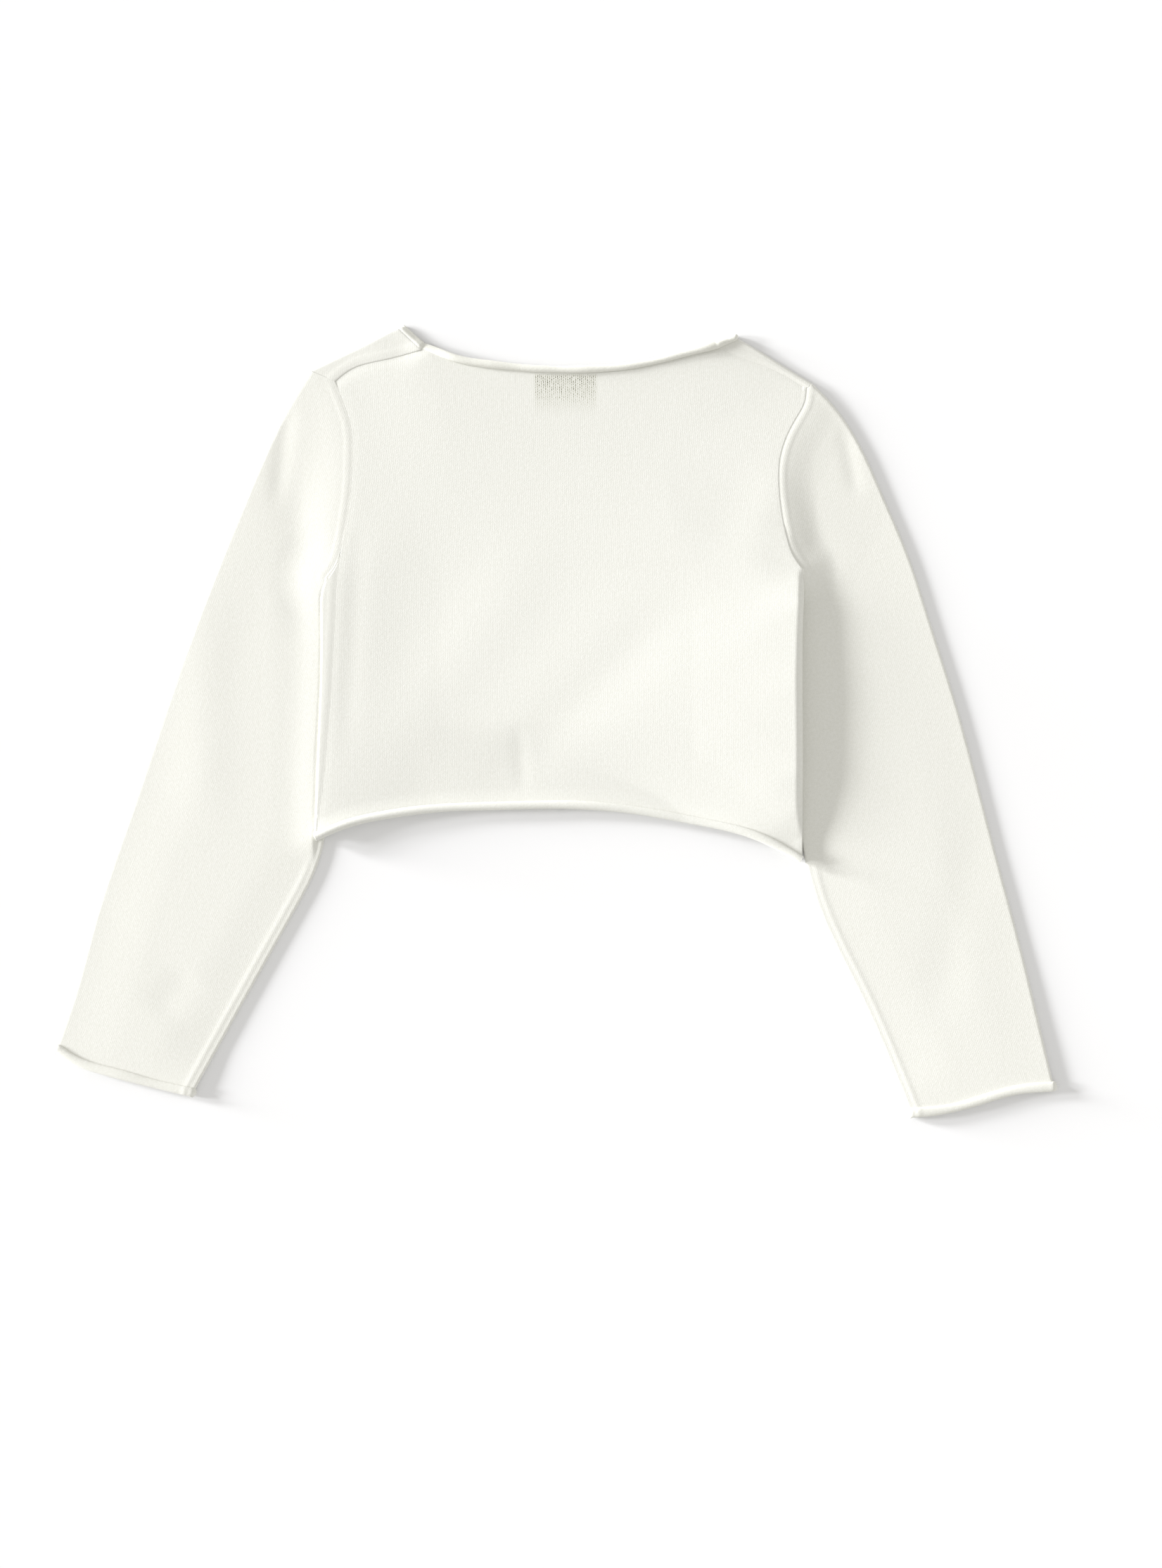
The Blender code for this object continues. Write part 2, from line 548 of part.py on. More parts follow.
def sleeve_grid(side):
    """The sleeve as rings from armhole to cuff: along the top from the outer fold to the inner,
    round the inner fold, back along the bottom, and round the outer fold."""
    armhole = armhole_ring(side)
    top_at_body = back_height(armhole[:, 0], armhole[:, 1])[None]
    bottom_at_body = front_height(armhole[:, 0], armhole[:, 1])[None]
    down_armhole = unit(armhole[-1] - armhole[-2])
    gap = np.full(len(armhole), SEAM_GAP / 2)
    gap[0] += CORNER_GAPS[0]
    gap[-1] += CORNER_GAPS[1]
    armhole = armhole + side_normals(armhole, side) * gap[:, None]
    armhole[-1] -= down_armhole * ((top_at_body - bottom_at_body)[0, -1] / 2 + HALF)
    ring_run = np.linalg.norm(np.diff(armhole, axis=0), axis=1)
    share = shares_of(np.concatenate([[0.0], np.cumsum(ring_run)]))
    outer_along, inner_along = SLEEVE_ROWS["outer"], SLEEVE_ROWS["inner"]
    along = outer_along[:, None] * (1 - share) + inner_along[:, None] * share
    levels = [np.interp(along, SLEEVE_LEVELS[:, 0], SLEEVE_LEVELS[:, k]) for k in range(1, 5)]
    outer_level, middle_level, inner_height, inner_flat = levels
    cuff_lift = 2 * CUFF_ROLL * smooth((along - 1 + CUFF_RISES) / CUFF_RISES)
    outer_rim = curve(SLEEVE_OUTER[side], outer_along)
    inner_rim = curve(SLEEVE_INNER[side], inner_along)
    outer_turn = smooth(outer_along / FOLD_TURNS)[:, None]
    inner_turn = smooth(inner_along / FOLD_TURNS)[:, None]
    outer_out = unit(corner_out(side) * (1 - outer_turn) + side_normals(outer_rim, side) * outer_turn)
    inner_out = unit(down_armhole * (1 - inner_turn) - side_normals(inner_rim, side) * inner_turn)
    outer_leave = smooth(np.linalg.norm(outer_rim - outer_rim[0], axis=1) / LEAVES_ARMHOLE)
    outer_top = top_at_body[0, 0] * (1 - outer_leave) + outer_level[:, 0] * outer_leave
    outer_low = bottom_at_body[0, 0] * (1 - outer_leave) + HALF * outer_leave + cuff_lift[:, 0]
    outer_reach = (outer_top - outer_low) / 2 + HALF
    inner_reach = inner_height[:, -1] / 2 + HALF
    outer_line = outer_rim - outer_out * outer_reach[:, None]
    inner_line = inner_rim - inner_out * inner_reach[:, None]
    outer_line[0], inner_line[0] = armhole[0], armhole[-1]
    cuff = curve(CUFF[side], share)
    cuff += (1 - share)[:, None] * (outer_line[-1] - cuff[0]) + share[:, None] * (inner_line[-1] - cuff[-1])
    near_armhole = 1 - smooth(outer_along / ARMHOLE_BENDS)
    plan = patch(armhole, cuff, outer_line, inner_line, near_armhole, outer_along, share)
    x, y = plan[..., 0], plan[..., 1]
    dense_armhole = np.stack([np.interp(DENSE, share, armhole[:, k]) for k in (0, 1)], axis=1)
    leave = smooth(distance(dense_armhole, x, y) / LEAVES_ARMHOLE)
    bottom = bottom_at_body * (1 - leave) + HALF * leave + cuff_lift
    from_inner = distance(INNER_LINE[side], x, y) - inner_reach[:, None]
    from_outer = distance(OUTER_LINE[side], x, y) - outer_reach[:, None]
    low = HALF + inner_height + cuff_lift
    near_inner = 1 - smooth((from_inner - inner_flat) / SLEEVE_SLOPE)
    near_outer = 1 - smooth(from_outer / SLEEVE_SLOPE)
    top = middle_level + (low - middle_level) * near_inner + (outer_level - middle_level) * near_outer
    top = top + fold_height(SLEEVE_FOLDS[side], x, y)
    top = top_at_body * (1 - leave) + top * leave
    bottom[:, 0], top[:, 0] = outer_low, outer_top
    upper = np.concatenate([plan, top[..., None]], axis=2)
    lower = np.concatenate([plan, bottom[..., None]], axis=2)[:, ::-1]
    inner_fold = fold_columns(upper[:, -1], lower[:, 0], inner_out)
    outer_fold = fold_columns(lower[:, -1], upper[:, 0], outer_out)
    return np.concatenate([upper, inner_fold, lower, outer_fold], axis=1)


def fold_columns(before, after, out):
    """Columns of the half circle that joins two layers at a fold."""
    centre = (before + after) / 2
    arm = before - centre
    radius = np.abs(arm[:, 2:])
    columns = []
    for k in range(1, FOLD_STEPS):
        angle = math.pi * k / FOLD_STEPS
        point = centre + arm * math.cos(angle)
        point[:, :2] += out * radius * math.sin(angle)
        columns.append(point)
    return np.stack(columns, axis=1)


def trim_grid(back, fronts):
    """The neck trim: a flat edge and a roll, carried along the neck edge of all three panels."""
    first = SHOULDER_COLUMNS + EDGE_COLUMNS
    neck = slice(first, first + NECK_COLUMNS + 1)
    above_centre = STRIP_ROWS + FOLD_STEPS + len(ARMHOLE_ROWS) + 1
    left = fronts[LEFT][:above_centre, 0][::-1]
    right = fronts[RIGHT][:above_centre, 0]
    left_out = surface_normals(fronts[LEFT], 1)[:above_centre, 0][::-1]
    right_out = surface_normals(fronts[RIGHT], -1)[:above_centre, 0]
    back_out = surface_normals(back, 1)[0, neck]
    line = np.concatenate([left[:-1], back[0, neck], right[1:]])
    normal = np.concatenate([left_out[:-1], back_out, right_out[1:]])
    ahead = unit(np.gradient(line, axis=0))
    out = unit(np.cross(normal, ahead))
    normal = unit(np.cross(ahead, out))
    on_back = np.zeros(len(line))
    on_back[len(left) - 1 - STRIP_ROWS:len(line) - len(right) + 1 + STRIP_ROWS] = 1.0
    tip = np.zeros(len(line))
    tip[len(left) - 1 - STRIP_ROWS - FOLD_STEPS:len(left) + 2] = 1.0
    tip[len(line) - len(right) - 2:len(line) - len(right) + 1 + STRIP_ROWS + FOLD_STEPS] = 1.0
    kernel = np.array((0.25, 0.5, 0.25))
    on_back = np.convolve(np.pad(on_back, 1, mode="edge"), kernel, mode="valid")
    tip = np.convolve(np.pad(tip, 1, mode="edge"), kernel, mode="valid")
    radius = TRIM_ROLL + TRIM_ROLL_ON_BACK * on_back + TRIM_ROLL_AT_FOLD * tip
    flat = TRIM_FLAT + TRIM_FLAT_AT_FOLD * tip
    columns = [line + out * SEAM_GAP / 2]
    for k in range(ROLL_STEPS + 1):
        angle = TRIM_TURN * k / ROLL_STEPS
        across = flat + radius * math.sin(angle)
        up = radius * (1 - math.cos(angle))
        columns.append(line + out * across[:, None] + normal * up[:, None])
    return np.stack(columns, axis=1)


def label_grid():
    """The label: points of the back's own surface, moved down under it."""
    left, right, top, bottom = LABEL
    x, y = np.meshgrid(np.linspace(left, right, LABEL_COLUMNS + 1), np.linspace(top, bottom, LABEL_ROWS + 1))
    z = back_height(x, y) - HALF - SEAM_GAP - LABEL_WALL / 2
    return np.stack([x, y, z], axis=2)


def material(name, colour, roughness):
    """A plain Principled material."""
    made = bpy.data.materials.new(name)
    made.use_nodes = True
    shader = made.node_tree.nodes["Principled BSDF"]
    shader.inputs["Base Color"].default_value = (*colour, 1.0)
    shader.inputs["Roughness"].default_value = roughness
    shader.inputs["Metallic"].default_value = 0.0
    return made


def cloth(name, grid, wall, facing, finish, collection, ring=False):
    """A closed wall on a grid of points: an open surface with Solidify, half to each side."""
    rows, columns = grid.shape[:2]
    index = np.arange(rows * columns).reshape(rows, columns)
    right = np.roll(index, -1, axis=1)
    if not ring:
        index, right = index[:, :-1], right[:, :-1]
    faces = np.stack([index[:-1], index[1:], right[1:], right[:-1]], axis=2).reshape(-1, 4)
    if facing < 0:
        faces = faces[:, ::-1]
    mesh = bpy.data.meshes.new(name)
    mesh.from_pydata((grid.reshape(-1, 3) * MM).tolist(), [], faces.tolist())
    mesh.materials.append(finish)
    mesh.shade_smooth()
    mesh.set_sharp_from_angle(angle=math.radians(50))
    piece = bpy.data.objects.new(name, mesh)
    collection.objects.link(piece)
    wall_modifier = piece.modifiers.new("Wall", "SOLIDIFY")
    wall_modifier.thickness = wall * MM
    wall_modifier.offset = 0.0
    return piece


for old in list(bpy.data.objects):
    bpy.data.objects.remove(old, do_unlink=True)

cardigan = bpy.data.collections.new("cardigan")
bpy.context.scene.collection.children.link(cardigan)

jersey_back = material("jersey_back", (0.90, 0.90, 0.85), 0.9)
jersey_front = material("jersey_front", (0.88, 0.88, 0.83), 0.9)
jersey_sleeve = material("jersey_sleeve", (0.89, 0.89, 0.84), 0.9)
rolled_trim = material("rolled_trim", (0.87, 0.87, 0.80), 0.92)
dark_label = material("dark_label", (0.08, 0.08, 0.09), 0.7)

back = back_grid()
fronts = {side: front_grid(side) for side in (LEFT, RIGHT)}

back_piece = rolled(drawn_back(back, rows=(0,), columns=(0, -1)), HEM_ROLL, ROLL_TURN, 1)
cloth("back", back_piece, WALL, 1, jersey_back, cardigan)

for side, name in ((LEFT, "front_left"), (RIGHT, "front_right")):
    piece = drawn_back(fronts[side], rows=(0,), columns=(0, -1))
    piece = rolled(piece, HIDDEN_ROLL, HIDDEN_TURN, -side)
    cloth(name, piece, WALL, -side, jersey_front, cardigan)

for side, name in ((LEFT, "sleeve_left"), (RIGHT, "sleeve_right")):
    piece = rolled(sleeve_grid(side), CUFF_ROLL, ROLL_TURN, -side, ring=True)
    cloth(name, piece, WALL, -side, jersey_sleeve, cardigan, ring=True)

cloth("neck_trim", trim_grid(back, fronts), TRIM_WALL, 1, rolled_trim, cardigan)
cloth("label", label_grid(), LABEL_WALL, 1, dark_label, cardigan)
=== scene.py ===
"""Looks of a child's cropped cardigan of fine jersey, laid flat on its front.

Sizes are in millimetres, from the middle of the laid-out garment, with +Y towards the neck and
+Z up from the table. Left and right are the wearer's.
"""
import math

import bpy
import numpy as np
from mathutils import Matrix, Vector


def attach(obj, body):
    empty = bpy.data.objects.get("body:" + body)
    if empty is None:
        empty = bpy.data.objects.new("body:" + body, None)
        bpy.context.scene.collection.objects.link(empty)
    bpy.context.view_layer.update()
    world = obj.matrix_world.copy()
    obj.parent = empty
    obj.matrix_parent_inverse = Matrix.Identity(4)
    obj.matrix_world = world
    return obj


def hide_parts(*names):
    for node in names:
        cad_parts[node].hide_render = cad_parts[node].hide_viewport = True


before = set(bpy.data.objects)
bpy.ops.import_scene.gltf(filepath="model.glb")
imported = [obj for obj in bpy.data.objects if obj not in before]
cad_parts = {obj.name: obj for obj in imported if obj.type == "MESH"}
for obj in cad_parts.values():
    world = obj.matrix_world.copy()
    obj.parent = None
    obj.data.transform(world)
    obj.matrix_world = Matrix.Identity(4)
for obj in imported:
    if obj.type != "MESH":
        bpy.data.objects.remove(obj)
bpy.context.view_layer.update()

MM = 0.001
LEFT, RIGHT = -1, 1

# The table and the studio: a plain white board under the garment, three low soft lamps from the
# left and a little from the neck's side, a faint wide one from the right, and an even pale room.
TABLE_HALF = 4.0
table_mesh = bpy.data.meshes.new("table")
corners = ((-1, -1), (1, -1), (1, 1), (-1, 1))
table_mesh.from_pydata([(x * TABLE_HALF, y * TABLE_HALF, 0) for x, y in corners], [], [(0, 1, 2, 3)])
table = bpy.data.objects.new("table", table_mesh)
bpy.context.scene.collection.objects.link(table)


def new_finish(name, looks):
    """A new material with these looks, and its shader."""
    made = bpy.data.materials.new(name)
    made.use_nodes = True
    shader = made.node_tree.nodes["Principled BSDF"]
    for socket, value in looks.items():
        shader.inputs[socket].default_value = value
    return made, shader


white_board, _ = new_finish("white_board", {"Base Color": (0.858, 0.861, 0.874, 1),
                                            "Roughness": 0.9, "Specular IOR Level": 0.0})
table_mesh.materials.append(white_board)


def lamp(name, from_left, height, spread, strength, colour):
    """A far round light: degrees from the left to the neck's side, degrees up, and its spread."""
    data = bpy.data.lights.new(name, "SUN")
    data.energy = strength
    data.angle = math.radians(spread)
    data.color = colour
    made = bpy.data.objects.new(name, data)
    turn, up = math.radians(from_left), math.radians(height)
    towards = Vector((-math.cos(turn) * math.cos(up), math.sin(turn) * math.cos(up), math.sin(up)))
    made.rotation_euler = towards.to_track_quat("Z", "Y").to_euler()
    bpy.context.scene.collection.objects.link(made)


lamp("window", 4, 14.5, 8, 1.98, (1.0, 1.0, 1.01))
lamp("second_window", 20, 14.5, 8, 1.98, (1.0, 1.0, 1.01))
lamp("reflector", 16, 7, 12, 3.35, (1.0, 1.0, 1.0))
lamp("board", 185, 40, 90, 0.35, (1.0, 0.995, 0.98))

room = bpy.data.worlds.new("room")
room.use_nodes = True
room.node_tree.nodes["Background"].inputs["Color"].default_value = (1.0, 0.985, 0.95, 1)
room.node_tree.nodes["Background"].inputs["Strength"].default_value = 0.665
bpy.context.scene.world = room
bpy.context.scene.view_settings.view_transform = "Standard"

# The camera looks straight down. One photographed pixel is 0.36 mm on the garment.
PIXEL = 0.36
PHOTO_ROWS = 2230
LENS, FILM = 85.0, 36.0
VIEW_X, VIEW_Y = 13.0, -33.1
GARMENT_TOP = 5.0
camera_data = bpy.data.cameras.new("camera")
camera_data.lens = LENS
camera_data.sensor_width = FILM
camera = bpy.data.objects.new("camera", camera_data)
camera_height = PHOTO_ROWS * PIXEL * LENS / FILM + GARMENT_TOP
camera.location = (VIEW_X * MM, VIEW_Y * MM, camera_height * MM)
bpy.context.scene.collection.objects.link(camera)
bpy.context.scene.camera = camera


# The back: one panel of plain jersey, knitted face up, from the shoulder and neck seams down to
# its own rolled hem. Its left edge is the side seam that shows; its right edge turns down over
# the sleeve and meets the front half way.
WALL = 1.0
HALF = WALL / 2
SEAM_GAP = 0.4
HEM_ROLL = 1.7
HIDDEN_ROLL = 1.25
ROLL_FLAT = 0.62
HEM_TURN = 290.0

SHOULDER_SEAM = {
    LEFT: ((-69.1, 189.7), (-74.9, 187.9), (-89.3, 184.3), (-104.4, 180.0), (-113.4, 173.5)),
    RIGHT: ((83.2, 191.2), (91.1, 186.8), (98.3, 184.3), (115.9, 177.0), (128.2, 169.6)),
}
BACK_NECK = (
    (-69.1, 189.7), (-50.4, 183.6), (-32.4, 180.7), (-14.4, 178.9), (3.6, 178.2), (21.6, 178.6),
    (39.6, 180.4), (57.6, 184.3), (72.0, 188.3), (83.2, 191.2),
)
ARMHOLE = {
    LEFT: (
        (-113.4, 173.5), (-110.2, 166.7), (-106.9, 158.0), (-104.8, 150.5), (-104.0, 137.9),
        (-104.4, 123.5), (-106.9, 101.9), (-109.4, 88.9), (-112.4, 79.9), (-117.4, 72.7),
    ),
    RIGHT: (
        (128.2, 169.6), (127.4, 163.1), (122.8, 154.1), (117.4, 143.3), (114.5, 132.5),
        (114.1, 119.9), (115.6, 105.5), (118.6, 91.1), (121.4, 83.5), (125.8, 77.0),
    ),
}
SIDE = {
    LEFT: (
        (-117.4, 72.7), (-119.8, 66.0), (-120.4, 55.0), (-120.3, 40.0), (-120.6, 19.1),
        (-122.0, -13.3), (-123.4, -60.0),
    ),
    RIGHT: (
        (125.8, 77.0), (127.0, 70.0), (127.0, 60.0), (126.5, 44.0), (126.4, 8.3),
        (126.5, -27.7), (125.8, -71.6),
    ),
}

# The left seam follows the armhole to this point of it, and then runs down to the hem
LEFT_SEAM_TURNS = 7
LEFT_SEAM = ARMHOLE[LEFT][:LEFT_SEAM_TURNS + 1] + (
    (-111.4, 76.0), (-112.3, 66.0), (-112.9, 51.5), (-114.0, 29.9), (-115.2, 8.3), (-117.0, -13.3),
    (-119.0, -34.9), (-120.6, -46.5), (-122.8, -60.5),
)
HEM = (
    (-123.4, -62.6), (-107.3, -55.8), (-87.1, -51.1), (-62.6, -47.9), (-26.3, -46.4),
    (11.9, -46.1), (44.3, -49.3), (74.5, -54.7), (104.8, -62.6), (125.8, -74.2),
)
SLEEVE_INNER = {
    LEFT: (
        (-117.2, 72.6), (-117.4, 71.0), (-117.4, 68.0), (-117.3, 64.0), (-117.2, 58.0),
        (-117.0, 50.0), (-116.8, 40.0), (-116.4, 28.0), (-116.0, 8.3), (-116.6, -20.5),
        (-117.4, -42.0), (-118.4, -60.0), (-123.0, -77.0), (-133.2, -97.2), (-156.2, -138.2),
        (-185.8, -191.6),
    ),
    RIGHT: (
        (125.6, 76.9), (125.7, 75.4), (125.4, 73.0), (124.9, 69.0), (124.3, 63.0), (123.7, 55.0),
        (123.0, 45.0), (122.2, 30.0), (121.8, 8.3), (122.0, -20.5), (122.8, -42.0), (125.6, -60.0),
        (128.2, -74.0), (133.9, -94.7), (154.4, -138.6), (181.6, -202.0),
    ),
}

# Heights at the body's two edges: y, lift of the front and level of the back on the left, the
# same on the right, and how far the edge turns round
EDGE_LEVELS = np.array((
    (178.0, 0.0, 2.6, 0.0, 2.3, 0),
    (140.0, 0.0, 3.0, 0.0, 3.8, 0),
    (100.0, 0.5, 3.4, 0.6, 4.8, 0),
    (77.0, 1.9, 3.8, 2.2, 6.5, 0),
    (72.0, 2.1, 3.9, 2.4, 7.3, 40),
    (60.0, 2.2, 4.0, 2.5, 9.0, 90),
    (20.0, 2.2, 4.0, 2.5, 10.5, 90),
    (-25.0, 2.2, 4.1, 2.5, 10.0, 90),
    (-45.0, 2.5, 4.4, 2.5, 8.2, 50),
    (-60.0, 2.9, 4.8, 2.5, 5.4, 0),
))
BACK_LEVEL = 3.4
BACK_HEM_LEVEL = 3.0
HEM_LIFT, HEM_LIFTS_OVER = 0.5, 9.0
BACK_SLOPE, BACK_HEM_SLOPE = {LEFT: 50.0, RIGHT: 185.0}, 60.0
HEM_SLOPE, BACK_HEM_WAY = 14.0, 45.0
EDGE_FLAT = 2.0
RIGHT_SLOPE_BEND = 1.25
LEVEL_SPREADS, LEVEL_STRETCH, LEVEL_READINGS = 0.8, 45.0, 9
CORNER_RUN = 14.0
FOLD_FADE = 0.25

# Broad folds of the back: start and end, half width, height
BACK_FOLDS = (
    ((60.0, 53.6), (-27.0, -29.9), 15.0, -0.42),
    ((-14.0, 80.3), (-86.0, -18.4), 20.0, 0.45),
    ((117.0, 126.0), (98.0, 78.0), 14.0, 0.4),
    ((-101.0, 88.0), (-107.0, -6.0), 6.0, -0.2),
    ((-19.0, -6.0), (-17.0, -34.0), 4.0, -0.15),
    ((-92.0, 208.0), (-72.0, 190.0), 11.0, -0.75),
)


def smooth(t):
    """Eases from 0 to 1 as t goes from 0 to 1, and stays level outside."""
    t = np.clip(t, 0.0, 1.0)
    return t * t * (3.0 - 2.0 * t)


def unit(vectors):
    """The vectors at length 1."""
    return vectors / np.linalg.norm(vectors, axis=-1, keepdims=True)


def curve(points, shares):
    """Natural cubic curve through the points, read at shares of its chord length."""
    points = np.array(points, float)
    steps = np.linalg.norm(np.diff(points, axis=0), axis=1)
    knots = np.concatenate([[0.0], np.cumsum(steps)])
    count = len(points)
    matrix = np.eye(count)
    change = np.zeros_like(points)
    for i in range(1, count - 1):
        matrix[i, i - 1:i + 2] = steps[i - 1], 2 * (steps[i - 1] + steps[i]), steps[i]
        rise_after = (points[i + 1] - points[i]) / steps[i]
        rise_before = (points[i] - points[i - 1]) / steps[i - 1]
        change[i] = 6 * (rise_after - rise_before)
    bend = np.linalg.solve(matrix, change)
    at = np.asarray(shares, float) * knots[-1]
    i = np.clip(np.searchsorted(knots, at, side="right") - 1, 0, count - 2)
    a = ((knots[i + 1] - at) / steps[i])[:, None]
    b = 1 - a
    wave = (a ** 3 - a) * bend[i] + (b ** 3 - b) * bend[i + 1]
    return a * points[i] + b * points[i + 1] + wave * steps[i][:, None] ** 2 / 6


def side_normals(line, side):
    """Unit vectors across a plan line, on the wearer's given side of it."""
    along = unit(np.gradient(line, axis=0))
    across = np.stack([along[:, 1], -along[:, 0]], axis=1)
    return across * np.where(across[:, :1] * side < 0, -1.0, 1.0)


def patch(top, bottom, left, right, from_top, from_bottom, u):
    """Plan points between four edge lines: a straight blend from the left line to the right at
    shares u, bent by the given shares of the top line's bend and of the bottom line's."""
    u = u[None, :, None]
    straight = (1 - u) * left[:, None] + u * right[:, None]
    top_bend = top - (1 - u) * top[0] - u * top[-1]
    bottom_bend = bottom - (1 - u) * bottom[0] - u * bottom[-1]
    return straight + from_top[:, None, None] * top_bend + from_bottom[:, None, None] * bottom_bend


def raised(plan, height):
    """The plan points with their heights."""
    return np.concatenate([plan, height[..., None]], axis=-1)


def shares_of(values):
    """The values as shares of the way from the first to the last."""
    return (values - values[0]) / (values[-1] - values[0])


def run_of(line):
    """Length along a line up to each of its points."""
    return np.concatenate([[0.0], np.cumsum(np.linalg.norm(np.diff(line, axis=0), axis=1))])


def run_over(grid, axis):
    """Length along a grid's columns (axis 0) or rows (axis 1) up to each of its points."""
    steps = np.linalg.norm(np.diff(grid, axis=axis), axis=2).cumsum(axis=axis)
    return np.insert(steps, 0, 0.0, axis=axis)


def packed(count, *crowds):
    """Shares from 0 to 1 that lie closer around each crowd: its place, its reach and how much
    closer. They are even steps of the running sum of the crowds' bells."""
    at = np.linspace(0, 1, 4000)
    weight = np.ones_like(at)
    for place, reach, factor in crowds:
        weight += (factor - 1) * np.exp(-((at - place) / reach) ** 2)
    total = np.concatenate([[0.0], np.cumsum((weight[1:] + weight[:-1]) / 2)])
    return np.interp(np.linspace(0, total[-1], count + 1), total, at)


def fold_height(folds, x, y):
    """Sum of the folds: each is a bell across its line, and fades out at its two ends."""
    total = np.zeros_like(x)
    for start, end, width, height in folds:
        start, end = np.array(start), np.array(end)
        run = end - start
        length = np.hypot(*run)
        share = ((x - start[0]) * run[0] + (y - start[1]) * run[1]) / length ** 2
        away = ((x - start[0]) * run[1] - (y - start[1]) * run[0]) / length
        fade = smooth((share + FOLD_FADE) / (2 * FOLD_FADE))
        fade = fade * smooth((1 + FOLD_FADE - share) / (2 * FOLD_FADE))
        total += height * np.exp(-(away / width) ** 2) * fade
    return total


DENSE = np.linspace(0, 1, 400)
ARMHOLE_LINE = {side: curve(ARMHOLE[side], DENSE) for side in ARMHOLE}
EDGE_LINE = {side: np.concatenate([ARMHOLE_LINE[side], curve(SIDE[side], DENSE)]) for side in SIDE}
INNER_LINE = {side: curve(SLEEVE_INNER[side], DENSE) for side in SLEEVE_INNER}
HEM_LINE = curve(HEM, DENSE) + np.array((0.0, HEM_ROLL + HALF))
SHOULDER_LINE = {side: curve(SHOULDER_SEAM[side], DENSE) for side in SHOULDER_SEAM}
LEFT_SEAM_LINE = curve(LEFT_SEAM, DENSE)
NECK_EDGE = curve(BACK_NECK, DENSE)

# Seams as they dip in the back: line, depth, width
BACK_DIPS = (
    (LEFT_SEAM_LINE, 0.07, 2.4),
    (ARMHOLE_LINE[RIGHT], 0.06, 1.4),
    (SHOULDER_LINE[LEFT], 0.28, 3.4),
    (SHOULDER_LINE[RIGHT], 0.08, 1.4),
    (NECK_EDGE, 0.30, 1.6),
)


def distance(line, x, y):
    """Distance in plan from the nearest of every other point of a line."""
    nearest = np.full(x.shape, np.inf)
    for point in line[::2]:
        np.minimum(nearest, np.hypot(x - point[0], y - point[1]), out=nearest)
    return nearest


def at_y(line, y):
    """x of a line that falls steadily, at the heights y."""
    return np.interp(y, line[::-1, 1], line[::-1, 0])


def inward(side, x, y):
    """Distance in from the body's edge on one side."""
    return (at_y(EDGE_LINE[side], y) - x) * side


def edge_level(side, y, name):
    """Front lift or back level at the body's edge, read from the table by y."""
    column = {"lift": 1, "level": 2}[name] + (2 if side == RIGHT else 0)
    return np.interp(y, EDGE_LEVELS[::-1, 0], EDGE_LEVELS[::-1, column])


def spread_level(side, x, y):
    """Level of the back at the body's edge, averaged over a stretch of the edge that grows with the
    distance in from it, so that no step of the table runs across the back."""
    stretch = np.clip(inward(side, x, y) * LEVEL_SPREADS, 0.0, LEVEL_STRETCH)
    shares = np.linspace(-1, 1, LEVEL_READINGS)
    return sum(edge_level(side, y + share * stretch, "level") for share in shares) / LEVEL_READINGS


def hem_y(x):
    """Height on the plan of the line where the hem starts to roll."""
    return np.interp(x, HEM_LINE[:, 0], HEM_LINE[:, 1])


def hem_points(first_x, last_x, shares):
    """Points of that line at shares of the way from one x to another."""
    x = first_x + (last_x - first_x) * shares
    return np.stack([x, hem_y(x)], axis=1)


def above_hem(x, y):
    """Distance up from the line where the hem starts to roll."""
    return y - hem_y(x)


def back_height(x, y):
    """Middle of the back's wall: calm in the middle, and raised over the sleeves at both sides."""
    up = above_hem(x, y)
    near_hem = 1 - smooth(up / BACK_HEM_WAY)
    calm = BACK_LEVEL + (BACK_HEM_LEVEL - BACK_LEVEL) * near_hem
    height = calm + fold_height(BACK_FOLDS, x, y) + HEM_LIFT * (1 - smooth(up / HEM_LIFTS_OVER))
    for side in (LEFT, RIGHT):
        slope = BACK_SLOPE[side] + (BACK_HEM_SLOPE - BACK_SLOPE[side]) * near_hem
        run = np.clip((inward(side, x, y) - EDGE_FLAT) / slope, 0.0, 1.0)
        share = 1 - smooth(run) if side == LEFT else (1 - run) ** RIGHT_SLOPE_BEND
        height += (spread_level(side, x, y) - calm) * share
    return height


def dip(x, y, seams):
    """Dip along the seams: one bell of each seam's depth and width along its line."""
    return -sum(depth * np.exp(-(distance(line, x, y) / width) ** 2)
                for line, depth, width in seams)


# Rows down the armhole are closer at the shoulder, and rows down the side at the hem
ARMHOLE_ROWS = packed(84, (0.0, 0.03, 2.5))
SIDE_ROWS = packed(112, (1.0, 0.05, 2.0))
EDGE_COLUMNS = 8


def edge_rows(side):
    """Rows down one edge of the body: plan point, outward direction, turn and radius. At the
    bottom the direction swings to that of the hem's end."""
    flank = curve(SIDE[side], SIDE_ROWS)
    line = np.concatenate([curve(ARMHOLE[side], ARMHOLE_ROWS), flank[1:]])
    out = side_normals(line, side)
    corner = unit(HEM_LINE[0] - HEM_LINE[9]) if side == LEFT else unit(HEM_LINE[-1] - HEM_LINE[-10])
    share = smooth((line[:, 1] - line[-1, 1]) / CORNER_RUN)[:, None]
    out = unit(corner * (1 - share) + out * share)
    turn = np.radians(np.interp(line[:, 1], EDGE_LEVELS[::-1, 0], EDGE_LEVELS[::-1, 5]))
    level = edge_level(side, line[:, 1], "level")
    lift = edge_level(side, line[:, 1], "lift")
    radius = (level - HALF - lift - SEAM_GAP / 4) / 2
    return line - out * (HALF * np.sin(turn))[:, None], out, turn, radius


